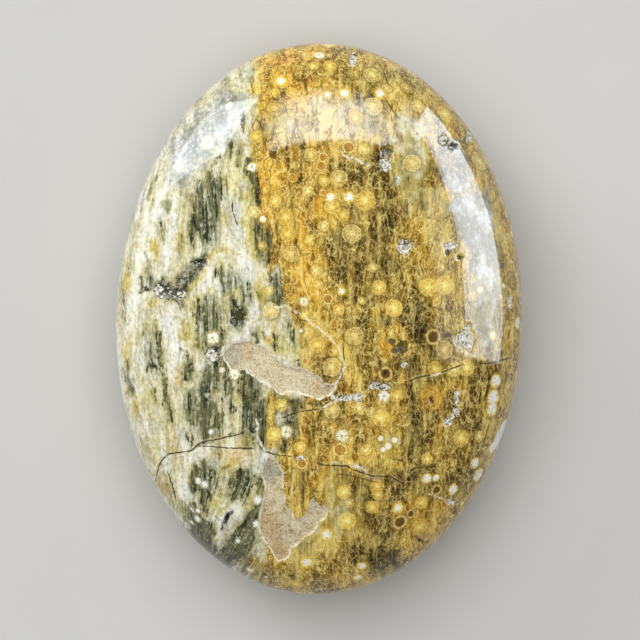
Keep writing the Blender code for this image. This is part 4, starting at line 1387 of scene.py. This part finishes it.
def placed_orbs(colour, place):
    """The orbs of the face, each with the rings of its look, uneven and crossed by fine rays."""
    tree = colour.tree
    middle = attribute(tree, "orb_middle")
    radius, kind, chance = parts_of(attribute(tree, "orb_look"))
    wobble = cloud_noise(place, 1.2, detail=3, roughness=0.55, offset=31.0) - 0.5
    share = vector_math("DISTANCE", place, middle) / radius * (wobble * 0.65 + 1.0)
    position = share / ORB_REACH
    outwards = vector_math("NORMALIZE", vector_math("SUBTRACT", place, middle), (0.0, 0.0, 0.0))
    rays = cloud_noise(outwards, 5.0, detail=2, offset=43.0)
    fine = cloud_noise(place, 4.2, detail=2, roughness=0.6, offset=41.0)
    shade = rays * 0.4 + fine * 0.6
    thin = ease(shade, 0.35, 0.55) * 0.35 + 0.65
    darker = ease(shade, 0.52, 0.4) * ease(share, 0.1, 0.5) * 0.7
    for number, stops in enumerate(ORB_LOOKS.values()):
        scaled = [(stop / ORB_REACH, tone, cover) for stop, tone, cover in stops]
        ring_colour, cover = colour_ramp(position, scaled)
        own = ease(abs(kind - float(number)), 0.5, 0.4)
        ring_colour = tint(ring_colour, darker, srgb(188, 168, 112))
        colour = blend(cover * own * thin, colour, ring_colour)
    return tint(colour, ease(chance, 0.6, 1.0) * ease(share, 1.2, 0.8) * 0.4, srgb(220, 206, 160))


def drawn_seams(colour, place, colours):
    """Cracks and veins, thin lines that break off and swell."""
    tree = colour.tree
    dark, white, brown = parts_of(attribute(tree, "seams"))
    dark_on, white_on, brown_on = parts_of(attribute(tree, "seam_cover"))
    wander = cloud_noise(place, 2.2, detail=2, offset=51.0) - 0.5
    swell = cloud_noise(place, 0.8, detail=1, offset=61.0)
    beside = ease(abs(dark + wander * 0.5), 0.36, 0.16) * ease(swell, 0.42, 0.56) * dark_on
    colour = blend(beside * 0.5, colour, srgb(206, 190, 138))
    thickness = ease(swell, 0.3, 0.7) * 0.11 + 0.08
    line = ease(abs(dark + wander * 0.3), thickness, 0.05) * ease(dark_on, 0.3, 0.6)
    colour = blend(line * 0.9, colour, colours.crack)
    broken = ease(cloud_noise(place, 1.6, detail=1, offset=65.0), 0.4, 0.56)
    line = ease(abs(white + wander * 0.5), swell * 0.26 + 0.07, 0.04) * ease(white_on, 0.3, 0.6)
    colour = blend(line * (broken * 0.6 + 0.3), colour, srgb(244, 240, 220))
    line = ease(abs(brown + wander * 0.3), swell * 0.18 + 0.06, 0.02) * ease(brown_on, 0.3, 0.6)
    return blend(line * 0.75, colour, srgb(78, 54, 16))


def pale_net(place, scale, thickness):
    """How near a place is to the thin walls between many small uneven cells."""
    voronoi = place.tree.nodes.new("ShaderNodeTexVoronoi")
    voronoi.feature = "DISTANCE_TO_EDGE"
    wobble = cloud_noise(place, 1.4, detail=2, offset=57.0)
    feed(place.tree, voronoi.inputs["Vector"], vector_math("ADD", place, vector_scale(wobble, 1.6)))
    voronoi.inputs["Scale"].default_value = scale
    return ease(Wire(place.tree, voronoi.outputs["Distance"]), thickness, 0.02)


def netted_patches(colour, place, nets):
    """Dark olive and grey cells between thin pale crystal walls."""
    cells = cloud_noise(place, 1.3, detail=2, offset=67.0)
    inside = blend(ease(cells, 0.42, 0.6), srgb(58, 60, 40), srgb(142, 140, 112))
    unbroken = ease(cloud_noise(place, 1.8, detail=1, offset=77.0), 0.42, 0.55)
    lining = blend(pale_net(place, 1.7, 0.10) * unbroken * 0.7, inside, srgb(218, 214, 186))
    return blend(ease(nets, 0.1, -0.2) * 0.9, colour, lining)


def druse_ground(colour, place, near, druse):
    """Pits darkened where they are bare, with dark rock and painted shade in their hollows, and lined
    with a web of white quartz where it grew.
    """
    cells = cloud_noise(place, 2.0, detail=2, offset=71.0)
    # Bare pits: the ground at a fifth of its brightness, warmed to brown in patches, is dark rock and
    # painted shade
    dark = blend(ease(cells, 0.45, 0.65) * 0.3, vector_scale(colour, 0.2), srgb(120, 92, 44))
    web = blend(ease(cells, 0.4, 0.6), srgb(118, 112, 80), srgb(206, 200, 176))
    web = blend(pale_net(place, 1.7, 0.13), web, srgb(255, 253, 244))
    spread = cloud_noise(place, 1.3, detail=2, roughness=0.6, offset=73.0)
    grown = ease(spread - (druse * 0.5 + 0.25), 0.03, -0.03)
    return blend(ease(near, 0.3, 0.6) * 0.96, colour, blend(grown, dark, web))


def hollow_ground(colour, place, hollow):
    """The bare, sugary floor of a hollow and the bright line of its rim."""
    grains = cloud_noise(place, 4.2, detail=3, roughness=0.65, offset=81.0)
    floor = attribute(colour.tree, "ground", "Color")
    stains = cloud_noise(place, 1.1, detail=4, roughness=0.65, offset=93.0)
    floor = tint(floor, ease(stains, 0.5, 0.34) * 0.7, srgb(206, 190, 150))
    floor = tint(floor, ease(grains, 0.5, 0.32) * 0.8, srgb(178, 164, 130))
    floor = blend(ease(grains, 0.52, 0.68) * 0.6, floor, srgb(242, 236, 216))
    colour = blend(ease(hollow, 0.02, -0.04), colour, floor)
    gaps = cloud_noise(place, 1.1, detail=2, offset=87.0)
    rim = ease(abs(hollow + (grains - 0.5) * 0.2), 0.15, 0.05) * ease(gaps, 0.4, 0.52)
    return blend(rim * 0.85, colour, srgb(250, 243, 224))


def jasper_colour(tree, place, colours):
    """The colour of the stone, from the ground up, and how bare and unpolished it is."""
    grain = attribute(tree, "grain")
    texture = attribute(tree, "texture")
    _, coarse, window = parts_of(texture)
    hollow, near, druse = parts_of(attribute(tree, "rough"))
    colour = small_orbs(jasper_ground(grain, place, texture), place, coarse)
    colour = dark_windows(colour, place, grain, window, colours)
    colour = deepened(placed_orbs(colour, place))
    colour = netted_patches(colour, place, attribute(tree, "nets", "Fac"))
    colour = drawn_seams(colour, place, colours)
    colour = hollow_ground(druse_ground(colour, place, near, druse), place, hollow)
    return colour, ease(hollow, 0.04, -0.06).math("MAXIMUM", ease(druse, 0.1, 0.4) * 0.9)


def jasper_finish(colours):
    material, tree, shader = new_finish("polished_ocean_jasper")
    place = object_millimetres(tree)
    colour, bare = jasper_colour(tree, place, colours)
    feed(tree, shader.inputs["Base Color"], colour)
    smear = cloud_noise(place, 0.5, detail=3, offset=5.0)
    feed(tree, shader.inputs["Roughness"], smear * 0.04 + 0.03 + bare * 0.6)
    shader.inputs["IOR"].default_value = REFRACTION
    bump = tree.nodes.new("ShaderNodeBump")
    bump.inputs["Distance"].default_value = 0.12 * MM
    sugar = cloud_noise(place, 7.0, detail=3, roughness=0.7, offset=17.0)
    feed(tree, bump.inputs["Height"], sugar)
    feed(tree, bump.inputs["Strength"], bare * 0.9)
    tree.links.new(bump.outputs["Normal"], shader.inputs["Normal"])
    return material


def quartz_finish(colours):
    material, tree, shader = new_finish("quartz_druse")
    place = object_millimetres(tree)
    shade = cloud_noise(place, 3.0, detail=2)
    colour = blend(ease(shade, 0.35, 0.65), colours.quartz_deep, colours.quartz)
    feed(tree, shader.inputs["Base Color"], colour)
    feed(tree, shader.inputs["Roughness"], shade * 0.15 + 0.08)
    shader.inputs["IOR"].default_value = REFRACTION
    return material


def build_stone(sizes, colours):
    values = {
        "Length": sizes.length, "Width": sizes.width, "Rise": sizes.dome_rise, "Drop": sizes.foot_drop,
        "Power": SECTION_POWER, "Material": jasper_finish(colours),
    }  # fmt: skip
    stone = grown_mesh("polished_stone", stone_blank(), stone_form(), values)
    carve(stone.data, sizes.hollow_sink)
    draw_pattern(stone.data, palette(colours))
    plant_orbs(stone.data)
    return stone


# Druse


def random_value(tree, kind, low, high, seed):
    """A chance number or vector for each point."""
    node = tree.nodes.new("FunctionNodeRandomValue")
    node.data_type = kind
    smallest, largest = [slot for slot in node.inputs if slot.enabled][:2]
    smallest.default_value = low
    largest.default_value = high
    node.inputs["Seed"].default_value = seed
    return next(slot for slot in node.outputs if slot.enabled)


def crystal_form():
    """Stands a small six-sided crystal on every point, turned and sized by chance."""
    tree, inputs = new_form("druse_crystals", {"Width": CRYSTAL_WIDTH, "Height": CRYSTAL_HEIGHT})
    cone = tree.nodes.new("GeometryNodeMeshCone")
    cone.inputs["Vertices"].default_value = 6
    tree.links.new(inputs.outputs["Width"], cone.inputs["Radius Bottom"])
    tree.links.new(inputs.outputs["Height"], cone.inputs["Depth"])
    turn = random_value(tree, "FLOAT_VECTOR", (-0.9, -0.9, 0.0), (0.9, 0.9, 6.28), CRYSTAL_TURN_SEED)
    size = random_value(tree, "FLOAT", 0.4, 1.3, CRYSTAL_SIZE_SEED)
    stand = tree.nodes.new("GeometryNodeInstanceOnPoints")
    tree.links.new(inputs.outputs["Geometry"], stand.inputs["Points"])
    tree.links.new(cone.outputs["Mesh"], stand.inputs["Instance"])
    tree.links.new(turn, stand.inputs["Rotation"])
    tree.links.new(size, stand.inputs["Scale"])
    finish_form(tree, inputs, stand.outputs["Instances"])
    return tree


def druse_points(dice):
    """Places in the pits where crystals stand, more of them where the pit is whiter."""
    pixels = []
    depths = []
    for across, down, half_width, half_height, deep, white in PITS:
        for _ in range(round(CRYSTALS_PER_PIXEL * half_width * half_height * white)):
            angle = dice.uniform(0, 2 * math.pi)
            out = math.sqrt(dice.random())
            x, y = out * half_width * math.cos(angle), out * half_height * math.sin(angle)
            pixels.append((across + x, down + y))
            depths.append(deep * MM * (1 - 0.6 * out))
    points = points_at(pixels)
    points[:, 2] -= np.array(depths)
    return points


def build_druse(sizes, colours):
    mesh = bpy.data.meshes.new("druse_points")
    points = druse_points(random.Random(DRUSE_SEED))
    mesh.from_pydata([tuple(point) for point in points], [], [])
    values = {
        "Width": sizes.crystal_width, "Height": sizes.crystal_height, "Material": quartz_finish(colours),
    }  # fmt: skip
    return grown_mesh("quartz_druse", mesh, crystal_form(), values)


# Stage


def build_floor(colours):
    mesh = bpy.data.meshes.new("studio_floor")
    corners = [(x * FLOOR_HALF, y * FLOOR_HALF, 0.0) for x, y in ((-1, -1), (1, -1), (1, 1), (-1, 1))]
    mesh.from_pydata(corners, [], [(0, 1, 2, 3)])
    material, tree, shader = new_finish("floor_paper")
    place = object_millimetres(tree)
    shade = cloud_noise(place, 0.05, detail=3)
    feed(tree, shader.inputs["Base Color"], blend(shade * 0.1, colours.floor, WHITE))
    shader.inputs["Roughness"].default_value = 0.8
    mesh.materials.append(material)
    floor = bpy.data.objects.new("studio_floor", mesh)
    bpy.context.scene.collection.objects.link(floor)


def softbox(name, corner, first_edge, second_edge, brightness, colour):
    """A rectangular light given by a corner and two edges, all as seen from the stone."""
    corner, first, second = (Vector(v) for v in (corner, first_edge, second_edge))
    middle = corner + (first + second) / 2
    x_axis = first.normalized()
    z_axis = first.cross(second).normalized()
    if z_axis.dot(middle) < 0:
        z_axis.negate()
    y_axis = z_axis.cross(x_axis)
    light = bpy.data.lights.new(name, "AREA")
    light.shape = "RECTANGLE"
    light.color = colour
    light.size = first.length
    light.size_y = second.length
    light.energy = brightness * math.pi * first.length * second.length
    lamp = bpy.data.objects.new(name, light)
    rotation = Matrix((x_axis, y_axis, z_axis)).transposed().to_4x4()
    lamp.matrix_world = Matrix.Translation(middle) @ rotation
    bpy.context.scene.collection.objects.link(lamp)
    return lamp


def build_lights():
    for *shape_and_colour, unlit in LIGHTS:
        lamp = softbox(*shape_and_colour)
        lamp.visible_diffuse = unlit != "diffuse"
        lamp.visible_glossy = unlit != "glossy"
    world = bpy.data.worlds.new("studio_air")
    world.use_nodes = True
    background = world.node_tree.nodes["Background"]
    background.inputs["Color"].default_value = (*WHITE, 1.0)
    background.inputs["Strength"].default_value = AIR
    bpy.context.scene.world = world


def build_camera():
    place, right, up = camera_axes()
    camera = bpy.data.cameras.new("photo_camera")
    camera.sensor_width = SENSOR
    camera.lens = SENSOR * CAMERA_HEIGHT / FIELD_OF_VIEW
    camera.clip_end = 20.0
    holder = bpy.data.objects.new("photo_camera", camera)
    rotation = Matrix((right, up, (0.0, 0.0, 1.0))).transposed().to_4x4()
    holder.matrix_world = Matrix.Translation(place) @ rotation
    bpy.context.scene.collection.objects.link(holder)
    bpy.context.scene.camera = holder
    bpy.context.scene.view_settings.view_transform = "Standard"


# The add-on


def size_setting(name, description, size):
    """A length that the user may change."""
    return bpy.props.FloatProperty(name=name, description=description, default=size, unit="LENGTH")


def colour_setting(name, description, colour):
    """A colour that the user may change, with its default given as it looks on a screen."""
    return bpy.props.FloatVectorProperty(
        name=name, description=description, default=srgb(*colour),
        size=3, min=0.0, max=1.0, subtype="COLOR",
    )  # fmt: skip


class JasperSizes(bpy.types.PropertyGroup):
    length: size_setting("Length", "Long axis of the oval", LENGTH)
    width: size_setting("Width", "Short axis of the oval", WIDTH)
    dome_rise: size_setting("Dome rise", "Height from the girdle to the crown", DOME_RISE)
    foot_drop: size_setting("Foot drop", "Depth from the girdle to the flat foot", FOOT_DROP)
    hollow_sink: size_setting("Hollow depth", "How far the rough hollows lie below the polish", SINK)
    crystal_width: size_setting("Crystal width", "Radius of a druse crystal", CRYSTAL_WIDTH)
    crystal_height: size_setting("Crystal height", "Height of a druse crystal", CRYSTAL_HEIGHT)


class JasperColours(bpy.types.PropertyGroup):
    cream: colour_setting("Cream", "Ground of the fibrous side", PIGMENTS["cream"][0])
    ivory: colour_setting("Ivory", "Palest streaks of the fibrous side", PIGMENTS["ivory"][0])
    ochre: colour_setting("Ochre", "Ground of the side with the orbs", PIGMENTS["ochre"][0])
    gold: colour_setting("Gold", "Brightest patches between the orbs", PIGMENTS["gold"][0])
    khaki: colour_setting("Khaki", "Half-dark patches between the orbs", PIGMENTS["khaki"][0])
    olive: colour_setting("Olive", "Dark patches between the orbs", PIGMENTS["olive"][0])
    umber: colour_setting("Umber", "Darkest patches between the orbs", PIGMENTS["umber"][0])
    window_dark: colour_setting("Window, dark", "Darkest clear jasper in the cream", (50, 54, 38))
    window_pale: colour_setting("Window, pale", "Palest clear jasper in the cream", (114, 114, 80))
    crack: colour_setting("Crack", "Thin open cracks", (50, 36, 10))
    quartz: colour_setting("Quartz", "Palest crystals of the druse", (242, 240, 230))
    quartz_deep: colour_setting("Quartz, deep", "Deepest crystals of the druse", (206, 200, 178))
    floor: colour_setting("Floor", "Paper that the stone lies on", (202, 201, 198))


class JASPER_OT_polished_stone(bpy.types.Operator):
    """Builds the polished stone with its hollows, pits and pattern"""

    bl_idname = "jasper.polished_stone"
    bl_label = "Polished Stone"

    def execute(self, context):
        stone = build_stone(context.scene.jasper_sizes, context.scene.jasper_colours)
        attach(stone, BODY)
        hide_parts(CAD_NODE)
        return {"FINISHED"}


class JASPER_OT_quartz_druse(bpy.types.Operator):
    """Stands small quartz crystals in the pits"""

    bl_idname = "jasper.quartz_druse"
    bl_label = "Quartz Druse"

    def execute(self, context):
        druse = build_druse(context.scene.jasper_sizes, context.scene.jasper_colours)
        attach(druse, BODY)
        return {"FINISHED"}


class JASPER_OT_stage(bpy.types.Operator):
    """Sets up the floor, the lights and the camera"""

    bl_idname = "jasper.stage"
    bl_label = "Stage"

    def execute(self, context):
        build_floor(context.scene.jasper_colours)
        build_lights()
        build_camera()
        return {"FINISHED"}


class JASPER_PT_panel(bpy.types.Panel):
    bl_label = "Ocean Jasper"
    bl_idname = "JASPER_PT_panel"
    bl_space_type = "VIEW_3D"
    bl_region_type = "UI"
    bl_category = "Jasper"

    def draw(self, context):
        for settings in (context.scene.jasper_sizes, context.scene.jasper_colours):
            for name in settings.__annotations__:
                self.layout.prop(settings, name)
        for operator in OPERATORS:
            self.layout.operator(operator.bl_idname)


OPERATORS = (JASPER_OT_polished_stone, JASPER_OT_quartz_druse, JASPER_OT_stage)
CLASSES = (JasperSizes, JasperColours, *OPERATORS, JASPER_PT_panel)


def register():
    for item in CLASSES:
        bpy.utils.register_class(item)
    bpy.types.Scene.jasper_sizes = bpy.props.PointerProperty(type=JasperSizes)
    bpy.types.Scene.jasper_colours = bpy.props.PointerProperty(type=JasperColours)


def unregister():
    del bpy.types.Scene.jasper_colours
    del bpy.types.Scene.jasper_sizes
    for item in reversed(CLASSES):
        bpy.utils.unregister_class(item)


def main():
    register()
    bpy.ops.jasper.polished_stone()
    bpy.ops.jasper.quartz_druse()
    bpy.ops.jasper.stage()


if __name__ == "__main__":
    main()
